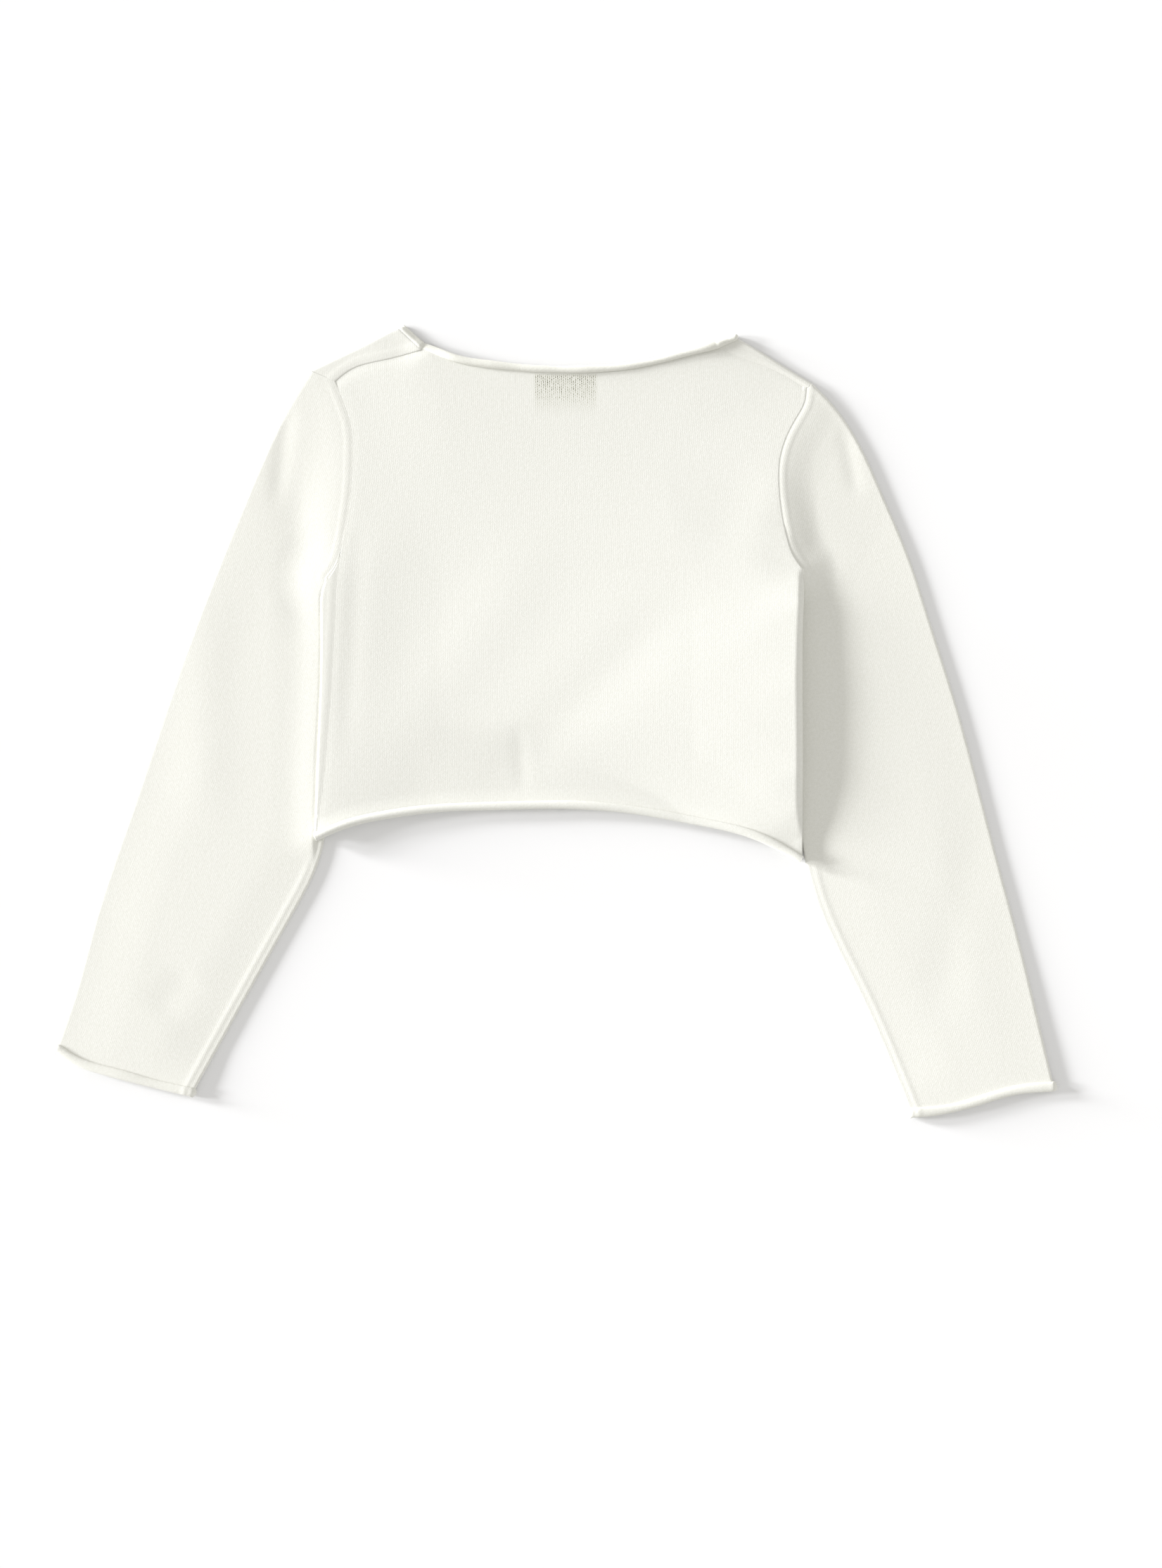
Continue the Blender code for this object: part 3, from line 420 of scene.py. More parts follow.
def reach(turn, length):
    """Plan length that is left of a strip when it bends through an angle."""
    return length * np.sinc(turn / math.pi)


def bend_columns(start, out, turn, radius, height, down):
    """Columns that carry a panel on past its last column, bending by each row's turn."""
    length = radius * math.pi / 2
    share = turn / math.radians(90)
    columns = []
    for k in range(1, EDGE_COLUMNS + 1):
        angle = turn * k / EDGE_COLUMNS
        part = length * k / EDGE_COLUMNS
        plan = start + out * reach(angle, part)[:, None]
        flat = height(*plan.T) * (1 - share) + height(*start.T) * share
        drop = part * np.sinc(angle / math.tau) * np.sin(angle / 2)
        columns.append(raised(plan, flat + down * drop))
    return np.stack(columns, axis=1)


def rolled(grid, radius, turn, facing, steps, flat=1.0, ring=False):
    """The grid with rows added after its last: a roll that turns to its outward side, pressed to a
    share of its height. Radius and flatness may change along the edge."""
    last = grid[-1]
    across = np.gradient(last, axis=0)
    if ring:
        across = np.roll(last, -1, axis=0) - np.roll(last, 1, axis=0)
    normal = unit(np.cross(last - grid[-2], across)) * facing
    ahead = unit(np.cross(across, normal)) * facing
    radius = np.broadcast_to(radius, len(last))[:, None]
    flat = np.broadcast_to(flat, len(last))[:, None]
    rows = []
    for k in range(1, steps + 1):
        angle = math.radians(turn) * k / steps
        up = normal * flat * (1 - math.cos(angle))
        rows.append(last + radius * (ahead * math.sin(angle) + up))
    return np.concatenate([grid, np.stack(rows)])


# Rows at a sewn edge: out over the seam line and down, for the piece that shows its turned edge
# and for the one that goes in under it. The weight says how much of that each seam has, and the
# rows of a seam that has little of it stay this far apart.
TURNED = ((0.08, 0.45), (0.0, 0.18), (-0.3, 0.03))
TUCKED = ((0.9, 1.3), (0.1, 0.5), (-0.35, 0.06))
SEAM_WEIGHT = {"side": 0.03, "left armhole": 0.06, "right armhole": 0.12, "shoulder": 0.12}
ROWS_APART = 0.05


def sewn(grid, uv, rows, axis, last=False, weight=1.0):
    """The grid and its UV with one edge sewn in: its row is replaced by three that go out over the
    seam line and down by the given amounts. Where the weight is 0 they stay on the surface."""
    grid, uv = np.moveaxis(grid, axis, 0), np.moveaxis(uv, axis, 0)
    if last:
        grid, uv = grid[::-1], uv[::-1]
    weight = np.broadcast_to(weight, grid.shape[1])[:, None]
    step = grid[0] - grid[1]
    length = np.linalg.norm(step, axis=1, keepdims=True)
    near = np.minimum(length, 1.0)
    new_rows, new_uv = [], []
    for k, (over, down) in enumerate(rows):
        out = over * near
        if k < 2:
            out = over * np.sqrt(weight) - ROWS_APART * k * (1 - weight)
        new_rows.append(grid[0] + step / length * out - np.array((0.0, 0.0, down)) * weight)
        new_uv.append(uv[0] + (uv[0] - uv[1]) / length * out)
    grid = np.concatenate([np.stack(new_rows), grid[1:]])
    uv = np.concatenate([np.stack(new_uv), uv[1:]])
    if last:
        grid, uv = grid[::-1], uv[::-1]
    return np.moveaxis(grid, 0, axis), np.moveaxis(uv, 0, axis)


WALES_FAN, FAN_FROM, FAN_OVER = 0.12, 60.0, 130.0


def fanned(x, y):
    """Place of a point across the wales, in mm: they fan out towards the shoulders."""
    return x / (1 + WALES_FAN * smooth((y - FAN_FROM) / FAN_OVER))


def with_roll_uv(uv, grid):
    """UV rows for the rolled rows of a grid: the last row's, carried on by the length round it."""
    extra = len(grid) - len(uv)
    steps = run_over(grid[-extra - 1:], 0)[1:]
    rows = uv[-1][None] - np.stack([np.zeros_like(steps), steps], axis=2)
    return np.concatenate([uv, rows])


class Signal:
    """One value in a material's nodes. Sums and products of signals add Math nodes."""

    def __init__(self, tree, socket=None):
        self.tree, self.socket = tree, socket

    def node(self, kind, settings=None, inputs=None, output=0):
        """A node of any type: its settings come first, then its sockets' values or links."""
        made = self.tree.nodes.new("ShaderNode" + kind)
        for name, value in (settings or {}).items():
            setattr(made, name, value)
        for name, value in (inputs or {}).items():
            if isinstance(value, Signal):
                self.tree.links.new(value.socket, made.inputs[name])
            else:
                made.inputs[name].default_value = value
        return Signal(self.tree, made.outputs[output])

    def math(self, operation, *values):
        """A Math node of the given values or signals."""
        return self.node("Math", {"operation": operation}, dict(enumerate(values)))

    def __add__(self, other):
        return self.math("ADD", self, other)

    def __sub__(self, other):
        return self.math("SUBTRACT", self, other)

    def __rsub__(self, other):
        return self.math("SUBTRACT", other, self)

    def __mul__(self, other):
        return self.math("MULTIPLY", self, other)

    def __pow__(self, other):
        return self.math("POWER", self, other)

    def __abs__(self):
        return self.math("ABSOLUTE", self)

    __radd__, __rmul__ = __add__, __mul__

    def fraction(self):
        """What is left over the whole number below."""
        return self.math("FRACT", self)

    def sine(self):
        """Sine of the value in radians."""
        return self.math("SINE", self)

    def part(self, number):
        """One of a vector's three numbers."""
        return self.node("SeparateXYZ", None, {0: self}, number)

    def step(self, low, high, from_value=0.0, to_value=1.0):
        """Eased change from one value to another between low and high."""
        return self.node("MapRange", {"interpolation_type": "SMOOTHSTEP"},
                         {"Value": self, "From Min": low, "From Max": high,
                          "To Min": from_value, "To Max": to_value})

    def noise(self, dimensions, scale, detail, roughness):
        """Noise from 0 to 1 at the place that this signal gives."""
        return self.node("TexNoise", {"noise_dimensions": dimensions},
                         {"Vector": self, "Scale": scale, "Detail": detail, "Roughness": roughness})

    def into(self, shader, name):
        """Links the value to one of the shader's own sockets."""
        self.tree.links.new(self.socket, shader.inputs[name])


# The knit: a wale's and a course's size, how deep a stitch is, and how far the noise pushes the
# wales and the courses, in stitches
WALE, COURSE = 1.84, 1.30
STITCH_DEPTH = 0.30
WALE_SWAY, COURSE_SWAY = 0.5, 0.9
IVORY = (0.760, 0.762, 0.723)
YARN_TONE = 0.962
WARM_SHADE = 1.25
LABEL_FADE = 1.2
LABEL_SHADE, HOLE_SHADE, HOLE_CHANGE = 0.01, 0.62, 2.6


def jersey(name, colour, purl=False, label=None, stitch=1.0):
    """Fine jersey, with stitches on the piece's own cloth UV in metres. Face: each wale is a column
    of Vs, so the height is a bell over each leg times a bell over each strand that rises outwards.
    Purl: wavy ridges across the wales. Slow noise bends the rows, and finer noise shades the yarn.
    A dark label behind the cloth shows only in the holes between the stitches."""
    made, shader = new_finish(name, {"Specular IOR Level": 0.25, "Sheen Weight": 0.12,
                                     "Sheen Roughness": 0.6})
    cloth_uv = Signal(made.node_tree).node("UVMap", {"uv_map": "cloth"})
    place = Signal(made.node_tree).node("TexCoord", output="Object")
    sway = cloth_uv.noise("2D", 210.0, 2.0, 0.6) - 0.5
    p = cloth_uv.part(0) * (1000.0 / WALE) + sway * WALE_SWAY
    q = cloth_uv.part(1) * (1000.0 / COURSE) + sway * COURSE_SWAY
    across = abs(p.fraction() - 0.5)
    if purl:
        wave = (p * math.tau).sine() * 0.26
        ridge = ((q + wave + p * 0.35) * math.pi).sine()
        lean = ((p + q * 0.5) * math.tau).sine() * 0.2 + 0.8
        height = abs(ridge) * lean
    else:
        bell = (across * math.tau).sine()
        leg = bell.math("MAXIMUM", bell, 0.0) ** 0.6
        strand = ((q - across * 2.0).fraction() * math.pi).sine()
        height = leg * (0.42 + 0.58 * strand)
    fuzz = place.noise("3D", 2600.0, 3.0, 0.7) - 0.5
    slub = cloth_uv.noise("2D", 640.0, 2.0, 0.75) - 0.5
    cloud = place.noise("3D", 22.0, 3.0, 0.55) - 0.5
    # The tone is a little darker where the stitch is low, between its legs: painted shade in the
    # stitch holes. The slub, fuzz and cloud noise add random tone, and darker tones lose more blue
    # (WARM_SHADE), so this painted shade comes out warm.
    tone = YARN_TONE + height * 0.022 + slub * 0.13 + fuzz * 0.11 + cloud * 0.02
    if label is not None:
        low_x, high_x, high_y, low_y = (edge * MM for edge in label)
        fade = LABEL_FADE * MM
        x, y = place.part(0), place.part(1)
        behind = x.step(low_x - fade, low_x + fade) * x.step(high_x - fade, high_x + fade, 1.0, 0.0)
        behind = behind * y.step(low_y - 2 * fade, high_y) * y.step(high_y, high_y + fade, 1.0, 0.0)
        holes = (1.0 - height).step(0.35, 0.80)
        tone = tone * (1.0 - behind * (LABEL_SHADE + holes * (HOLE_SHADE + slub * HOLE_CHANGE)))
    grey = tone.node("CombineColor", None, {0: tone, 1: tone, 2: tone ** WARM_SHADE})
    tint = grey.node("Mix", {"data_type": "RGBA", "blend_type": "MULTIPLY"},
                     {0: 1.0, 6: (*colour, 1.0), 7: grey}, 2)
    tint.into(shader, "Base Color")
    relief = height * (stitch * 0.7 + slub * 1.6) + slub * 0.5 + fuzz * 0.5
    stitches = relief.node("Bump", None,
                           {"Strength": 0.12, "Distance": STITCH_DEPTH * MM, "Height": relief})
    uneven = place.noise("3D", 120.0, 2.0, 0.5)
    surface = uneven.node("Bump", None, {"Strength": 0.12, "Distance": 0.25 * MM,
                                         "Height": uneven, "Normal": stitches})
    surface.into(shader, "Normal")
    (0.86 + slub * 0.12).into(shader, "Roughness")
    return made


def cloth(name, points, patches, facing, finishes, node):
    """A piece of cloth from points and patches of them, each a grid of point numbers with a grid
    of UV in mm. Solidify gives it its wall, half to each side, and the reverse its own finish."""
    faces, corners = [], []
    for index, uv in patches:
        quads = np.stack([index[:-1, :-1], index[1:, :-1], index[1:, 1:], index[:-1, 1:]], axis=2)
        places = np.stack([uv[:-1, :-1], uv[1:, :-1], uv[1:, 1:], uv[:-1, 1:]], axis=2)
        faces.append(quads.reshape(-1, 4))
        corners.append(places.reshape(-1, 4, 2))
    faces, corners = np.concatenate(faces), np.concatenate(corners)
    if facing < 0:
        faces, corners = faces[:, ::-1], corners[:, ::-1]
    mesh = bpy.data.meshes.new(name)
    mesh.from_pydata((points * MM).tolist(), [], faces.tolist())
    layer = mesh.uv_layers.new(name="cloth")
    layer.data.foreach_set("uv", (corners * MM).reshape(-1).astype(np.float32))
    for finish in finishes:
        mesh.materials.append(finish)
    mesh.shade_smooth()
    piece = bpy.data.objects.new(name, mesh)
    bpy.context.scene.collection.objects.link(piece)
    solid = piece.modifiers.new("Wall", "SOLIDIFY")
    solid.thickness = WALL * MM
    solid.offset = 0.0
    solid.material_offset = 1
    solid.material_offset_rim = 1
    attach(piece, "root")
    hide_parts(node)
    return piece


def one_patch(grid, uv):
    """Points and the single patch of a plain grid."""
    index = np.arange(grid.shape[0] * grid.shape[1]).reshape(grid.shape[:2])
    return grid.reshape(-1, 3), [(index, uv)]


# Left, right, top and bottom of the label inside the neck
LABEL = (-10.6, 20.8, 176.0, 155.4)
jersey_face = jersey("back_jersey_face", IVORY, label=LABEL)
jersey_reverse = jersey("back_jersey_purl", IVORY, purl=True)


def swelling(run, *waves):
    """How a roll swells along its run: 1, and a sine of each wave's height, length and start."""
    total = np.ones_like(run)
    for height, length, start in waves:
        total += height * np.sin(run / length + start)
    return total


# Columns are closer at the outer ends of the shoulder seams, and above the label
SHOULDER_COLUMNS, NECK_COLUMNS = 34, 130
SHOULDER_SHARES = packed(SHOULDER_COLUMNS, (1.0, 0.08, 2.0))
NECK_SHARES = packed(NECK_COLUMNS, (0.52, 0.12, 1.8))
LEFT_ARMHOLE_SHARE = 0.4
SEAM_FADE_ROWS = 4
ROLL_STEPS = 24
HEM_FLAT = ((-90.0, 0.0, 75.0), (0.80, 0.60, 0.42))
right_line, right_out, right_turn, right_radius = edge_rows(RIGHT)
right_start = right_line - right_out * reach(right_turn, right_radius * math.pi / 2)[:, None]
shoulder = {side: curve(SHOULDER_SEAM[side], SHOULDER_SHARES) for side in SHOULDER_SEAM}
right_shoulder_end = right_radius[0] * math.pi / 2
right_top_shares = SHOULDER_SHARES * (1 - right_shoulder_end / run_of(SHOULDER_LINE[RIGHT])[-1])
right_top = curve(SHOULDER_SEAM[RIGHT], right_top_shares)
neck = curve(BACK_NECK, NECK_SHARES)
top = np.concatenate([shoulder[LEFT][:0:-1], neck, right_top[1:]])
right_start[0] = top[-1]
left_rows = np.concatenate([ARMHOLE_ROWS * LEFT_ARMHOLE_SHARE,
                            LEFT_ARMHOLE_SHARE + SIDE_ROWS[1:] * (1 - LEFT_ARMHOLE_SHARE)])
left_run = run_of(LEFT_SEAM_LINE)
left_line = curve(LEFT_SEAM, shares_of(np.interp(left_rows, DENSE, left_run)))
across = shares_of(top[:, 0])
bottom = hem_points(left_line[-1, 0], right_start[-1, 0], across)
left_line[-1], right_start[-1] = bottom[0], bottom[-1]
down = shares_of((left_line[:, 1] + right_start[:, 1]) / 2)
plan = patch(top, bottom, left_line, right_start, 1 - down, down, across)
height = back_height(plan[..., 0], plan[..., 1])
height += dip(plan[..., 0], plan[..., 1], BACK_DIPS)
back_flat = raised(plan, height)
right_bend = bend_columns(right_start, right_out, right_turn, right_radius, back_height, -1)
back_grid = np.concatenate([back_flat, right_bend], axis=1)
back_uv = np.stack([fanned(back_grid[..., 0], back_grid[..., 1]), back_grid[..., 1]], axis=2)
bend_run = right_radius[:, None] * math.pi / 2 * np.arange(1, EDGE_COLUMNS + 1) / EDGE_COLUMNS
back_uv[:, -EDGE_COLUMNS:, 0] = back_uv[:, -EDGE_COLUMNS - 1, 0][:, None] + bend_run
past_armhole = np.arange(len(back_grid)) - len(ARMHOLE_ROWS) + SEAM_FADE_ROWS
at_armhole = 1 - smooth(past_armhole / SEAM_FADE_ROWS)
left_weight = SEAM_WEIGHT["left armhole"] - SEAM_WEIGHT["side"]
left_weight = SEAM_WEIGHT["side"] + left_weight * at_armhole
right_weight = at_armhole * SEAM_WEIGHT["right armhole"]
sewn_back, sewn_uv = sewn(back_grid, back_uv, TURNED, 1, weight=left_weight)
sewn_back, sewn_uv = sewn(sewn_back, sewn_uv, TURNED, 1, True, right_weight)
sewn_back, sewn_uv = sewn(sewn_back, sewn_uv, TURNED, 0, weight=SEAM_WEIGHT["shoulder"])
hem_swell = swelling(run_of(sewn_back[-1]), (0.03, 17.0, 0.0), (0.03, 7.3, 1.0))
hem_flat = np.interp(sewn_back[-1, :, 0], *HEM_FLAT)
back_rolled = rolled(sewn_back, HEM_ROLL * hem_swell, HEM_TURN, 1, ROLL_STEPS, hem_flat)
points, patches = one_patch(back_rolled, with_roll_uv(sewn_uv, back_rolled))
back = cloth("back_panel", points, patches, 1, (jersey_face, jersey_reverse), "back")


# The two fronts: plain jersey panels under the back, edge to edge at the centre, lifted over the
# sleeves. Their tops come over the shoulder fold to the seam on top, and the left one also comes
# round the side to the seam that shows.
CENTRE_X = 3.0
CENTRE_GAP = 2.0
FRONT_NECK_Y = 103.0
NECK_LIFT = 0.95
BLEND = 4
FRONT_SLOPE = 9.0
NECK_SLOPE = 9.0
SLEEVE_FLAT = 3.0
NECK_FLAT = 1.0
FOLD_INSET = 2.5
HIDDEN_TURN = 250.0
WELT_FROM, WELT_RISE = 0.2, 2.0
WELT_TOP, WELT_FALL = 3.2, 1.8
STRIP_WELT = {LEFT: 0.08, RIGHT: 0.12}
WRAP_WELT = 0.05
SHOULDER_FOLD = {
    LEFT: ((-80.3, 200.9), (-86.4, 198.4), (-97.2, 193.0), (-108.4, 187.6), (-125.6, 179.3)),
    RIGHT: ((92.9, 195.5), (99.0, 192.2), (106.2, 187.9), (115.2, 182.2), (131.4, 172.4)),
}
FRONT_NECK = {
    LEFT: (
        (2.0, 103.0), (-7.0, 103.8), (-28.0, 111.0), (-54.0, 137.0), (-70.0, 168.0), (-79.0, 198.6),
    ),
    RIGHT: (
        (4.0, 103.0), (13.0, 103.8), (36.0, 110.5), (64.0, 134.0), (82.0, 165.0), (91.2, 193.4),
    ),
}
SLEEVE_OUTER = {
    LEFT: (
        (-125.6, 179.3), (-137.9, 159.5), (-153.0, 127.8), (-173.5, 78.1), (-187.2, 42.5),
        (-199.1, 8.3), (-218.2, -48.6), (-235.8, -101.2), (-247.3, -142.6), (-256.0, -168.6),
    ),
    RIGHT: (
        (131.4, 172.4), (142.2, 161.3), (153.4, 145.4), (168.4, 113.4), (180.7, 84.3),
        (191.3, 52.2), (205.2, 8.3), (216.0, -31.3), (227.9, -77.0), (236.5, -109.1),
        (255.4, -188.0),
    ),
}
NECK_LINE = {side: curve(FRONT_NECK[side], DENSE) for side in FRONT_NECK}
FRONT_SHARES = np.concatenate([np.linspace(0, 0.8, 34), np.linspace(0.8, 1.0, 14)[1:]])
FRONT_FOLD_STEPS = 12
FRONT_STRIP_ROWS = 14
HIDDEN_STEPS = 14
LEFT_SEAM_DIP, RIGHT_SHOULDER_DIP = BACK_DIPS[:1], BACK_DIPS[3:4]
UV_TOP = 190.0

# How far the right front's last column drops under the back's edge
EDGE_DROPS = 0.15


def front_height(x, y):
    """Middle of the front's wall: on the table, but raised over the sleeves' inner edges, over its
    own rolled hem and over the neck trim."""
    lifts = [2 * HIDDEN_ROLL * ROLL_FLAT * (1 - smooth(above_hem(x, y) / HEM_SLOPE))]
    for side in (LEFT, RIGHT):
        tucked = (at_y(EDGE_LINE[side], y) - at_y(INNER_LINE[side], y)) * side
        flat = np.maximum(tucked, 0.0) + SLEEVE_FLAT
        share = 1 - smooth((inward(side, x, y) - flat) / FRONT_SLOPE)
        lifts.append(edge_level(side, y, "lift") * share)
        near = distance(NECK_LINE[side], x, y)
        lifts.append(NECK_LIFT * (1 - smooth((near - NECK_FLAT) / NECK_SLOPE)))
    return HALF + sum(lift ** BLEND for lift in lifts) ** (1 / BLEND)


def corner_out(side):
    """Direction in which the shoulder point stands out: between the shoulder and the sleeve."""
    shoulder_side = side_normals(curve(SHOULDER_FOLD[side], DENSE), side)[-1]
    sleeve_side = side_normals(curve(SLEEVE_OUTER[side], DENSE), side)[0]
    return unit(shoulder_side + sleeve_side)


def fold_centre(rim, out):
    """The line that a fold at the rim bends round: in by half the way between the two layers."""
    inset = rim - out * FOLD_INSET
    radius = (back_height(*inset.T) - front_height(*inset.T)) / 2
    return rim - out * (radius + HALF)[:, None]


def welt(near):
    """Raised band beside a seam, where the turned edges lie underneath, as a share of its height:
    up from the seam and down again at the band's width."""
    return smooth((near - WELT_FROM) / WELT_RISE) * (1 - smooth((near - WELT_TOP) / WELT_FALL))


def front_grid(side):
    """One front from the line where its hem rolls, over the shoulder fold, to the seam on top."""
    line, out, turn, radius = edge_rows(side)
    length = radius * math.pi / 2
    first = 1 - length[0] / run_of(SHOULDER_LINE[side])[-1]
    last_shares = np.linspace(first, 1, EDGE_COLUMNS + 1)[1:]
    seam_shares = np.concatenate([FRONT_SHARES * first, last_shares])
    seam = curve(SHOULDER_SEAM[side], seam_shares)
    fold_rim = curve(SHOULDER_FOLD[side], seam_shares)
    fold_out = side_normals(fold_rim, side)
    fold_out[-1] = corner_out(side)
    fold_line = fold_centre(fold_rim, fold_out)
    top_line = fold_line[:len(FRONT_SHARES)]
    out[0] = unit(fold_line[-1] - fold_line[-2])
    out[1] = unit(out[0] + out[1] + out[2])
    start = line - out * reach(turn, length)[:, None]
    start = np.concatenate([top_line[-1:], start])
    neck_edge = curve(FRONT_NECK[side], np.linspace(1, 0, len(ARMHOLE_ROWS) + 1))
    neck_edge += np.linspace(1, 0, len(neck_edge))[:, None] * (top_line[0] - neck_edge[0])
    centre_x = CENTRE_X + CENTRE_GAP / 2 * side
    centre_foot = hem_y(centre_x)
    centre_y = FRONT_NECK_Y + (centre_foot - FRONT_NECK_Y) * SIDE_ROWS[1:]
    centre = np.stack([np.full(len(centre_y), centre_x), centre_y], axis=1)
    inner = np.concatenate([neck_edge, centre])
    shares = shares_of(run_of(top_line))
    foot = hem_points(centre_x, start[-1, 0], shares)
    start[-1] = foot[-1]
    fall = shares_of((inner[:, 1] + start[:, 1]) / 2)
    plan = patch(top_line, foot, inner, start, 1 - fall, fall, shares)
    grid = raised(plan, front_height(plan[..., 0], plan[..., 1]))
    out, turn, radius = (np.concatenate([rows[:1], rows]) for rows in (out, turn, radius))
    grid = np.concatenate([grid, bend_columns(start, out, turn, radius, front_height, 1)], axis=1)
    corner = fold_line[-EDGE_COLUMNS:]
    grid[0, -EDGE_COLUMNS:] = raised(corner, front_height(*corner.T))
    low, high = grid[0, :, 2], back_height(*fold_line.T)
    bulge = (high - low) / 2
    rows = []
    for k in range(1, FRONT_FOLD_STEPS + 1):
        angle = -math.pi / 2 + math.pi * k / FRONT_FOLD_STEPS
        over = fold_line + fold_out * (bulge * math.cos(angle))[:, None]
        rows.append(raised(over, (high + low) / 2 + bulge * math.sin(angle)))
    for k in range(1, FRONT_STRIP_ROWS + 1):
        over = fold_line + (seam - fold_line) * k / FRONT_STRIP_ROWS
        band = STRIP_WELT[side] * welt(distance(SHOULDER_LINE[side], *over.T))
        band += dip(*over.T, RIGHT_SHOULDER_DIP)
        rows.append(raised(over, back_height(*over.T) + band * smooth(k / SEAM_FADE_ROWS)))
    return np.concatenate([np.stack(rows[::-1]), grid])


def front_uv(grid):
    """UV of a front: across the wales by x, and along them by the length down each column."""
    return np.stack([fanned(grid[..., 0], grid[..., 1]), UV_TOP - run_over(grid, 0)], axis=2)


front_face = jersey("front_jersey_face", (0.764, 0.765, 0.725))
front_reverse = jersey("front_jersey_purl", (0.762, 0.762, 0.720), purl=True)
fronts = {side: front_grid(side) for side in (LEFT, RIGHT)}


def at_shares(line, shares):
    """Points of a line of many points, at shares of its run."""
    run = run_of(line)
    return np.stack([np.interp(shares * run[-1], run, line[:, k]) for k in (0, 1)], axis=1)


# The part of the left front that comes round the side on top, to the seam that shows
side_rows = len(SIDE_ROWS)
left_rim, left_out, left_turn, left_radius = edge_rows(LEFT)
left_start = left_rim - left_out * reach(left_turn, left_radius * math.pi / 2)[:, None]
left_bend = bend_columns(left_start, left_out, left_turn, left_radius, back_height, -1)
left_bend = left_bend[-side_rows:, ::-1]
wrap_start = left_start[-side_rows:]
wrap_seam = curve(LEFT_SEAM[LEFT_SEAM_TURNS:], SIDE_ROWS)
WRAP_COLUMNS = np.linspace(0, 1, 13)
WRAP_BENDS = 0.25
turning = np.argmin(np.linalg.norm(ARMHOLE_LINE[LEFT] - ARMHOLE[LEFT][LEFT_SEAM_TURNS], axis=1))
armhole_end = at_shares(ARMHOLE_LINE[LEFT][turning:], 1 - WRAP_COLUMNS)
wrap_top = armhole_end + (1 - WRAP_COLUMNS)[:, None] * (wrap_start[0] - armhole_end[0])
wrap_foot = hem_points(wrap_start[-1, 0], wrap_seam[-1, 0], WRAP_COLUMNS)
wrap_start[-1], wrap_seam[-1] = wrap_foot[0], wrap_foot[-1]
wrap_fall = 1 - smooth(SIDE_ROWS / WRAP_BENDS)
wrap_plan = patch(wrap_top, wrap_foot, wrap_start, wrap_seam, wrap_fall, SIDE_ROWS, WRAP_COLUMNS)
wrap_x, wrap_y = wrap_plan[..., 0], wrap_plan[..., 1]
wrap_z = back_height(wrap_x, wrap_y) + WRAP_WELT * welt(distance(LEFT_SEAM_LINE, wrap_x, wrap_y))
wrap_z += dip(wrap_x, wrap_y, LEFT_SEAM_DIP)
wrap = np.concatenate([left_bend, raised(wrap_plan, wrap_z)], axis=1)

for side, name in ((LEFT, "left"), (RIGHT, "right")):
    grid = fronts[side]
    uv = front_uv(grid)
    outer = grid[-side_rows:, -1].copy()
    past_armhole = np.arange(len(grid)) - len(grid) + side_rows + SEAM_FADE_ROWS
    beside_trim = 1 - smooth(past_armhole / SEAM_FADE_ROWS)
    grid, uv = sewn(grid, uv, TURNED, 1, weight=beside_trim)
    grid, uv = sewn(grid, uv, TUCKED, 0, weight=SEAM_WEIGHT["shoulder"])
    panel = rolled(grid, HIDDEN_ROLL, HIDDEN_TURN, -side, HIDDEN_STEPS, ROLL_FLAT)
    uv = with_roll_uv(uv, panel)
    points, patches = one_patch(panel, uv)
    beside = slice(len(grid) - side_rows, len(grid))
    edge, edge_uv = patches[0][0][beside, -1:], uv[beside, -1:]
    if side == LEFT:
        extra = wrap
    else:
        extra = right_bend[-side_rows:, -1:] - np.array((0.0, 0.0, EDGE_DROPS))
    joined = np.concatenate([outer[:, None], extra], axis=1)
    sideways = run_over(joined, 1)
    joined_uv = edge_uv + np.stack([side * sideways, np.zeros_like(sideways)], axis=2)
    if side == LEFT:
        joined, joined_uv = sewn(joined, joined_uv, TUCKED, 1, True, SEAM_WEIGHT["side"])
        extra = joined[:, 1:]
    numbers = len(points) + np.arange(extra.shape[0] * extra.shape[1]).reshape(extra.shape[:2])
    index = np.concatenate([edge, numbers], axis=1)
    points = np.concatenate([points, extra.reshape(-1, 3)])
    patches.append((index, joined_uv))
    piece = cloth(f"front_panel_{name}", points, patches, -side, (front_face, front_reverse),
                  f"front_{name}")


# The sleeves: one jersey piece each, closed by an underarm seam into a flat tube and sewn into
# the armhole, where the turned edges make a raised band. The end of the tube rolls outwards.
CUFF = {
    LEFT: (
        (-253.6, -169.0), (-247.2, -173.8), (-226.6, -181.8), (-205.2, -188.4), (-188.0, -193.0),
    ),
    RIGHT: (
        (253.4, -189.0), (236.5, -190.8), (219.0, -196.0), (198.0, -201.8), (183.5, -203.4),
    ),
}
CUFF_ROLL, CUFF_TURN = 1.9, 318.0
CUFF_LIFT, CUFF_RISES = 0.8, 0.10
CUFF_FLAT, CUFF_FLAT_AT_FOLD = 0.36, 0.42

# The roll under the cuff stays above the table: it gets only the room that is left below it,
# and its radius is then eased round the ring this many times
LEAST_FALL, CUFF_EASES = 0.05, 3

# Layers of the sleeve at shares of its length: level of the top at the outer fold and in the
# middle, and height of the inner fold
SLEEVE_AT = (0.00, 0.07, 0.20, 0.42, 0.60, 0.80, 1.00)
SLEEVE_LEVELS = {
    LEFT: (
        (2.8, 2.7, 2.6, 2.2, 1.8, 1.8, 2.6),
        (3.0, 2.6, 2.3, 2.1, 2.1, 2.3, 2.8),
        (1.6, 1.25, 1.2, 1.2, 1.2, 1.25, 1.5),
    ),
    RIGHT: (
        (2.6, 2.0, 1.7, 1.7, 1.7, 1.8, 2.6),
        (3.0, 2.3, 1.9, 1.9, 2.1, 2.2, 2.8),
        (1.7, 1.3, 1.3, 1.3, 1.3, 1.4, 1.5),
    ),
}
SLEEVE_SLOPE = 30.0

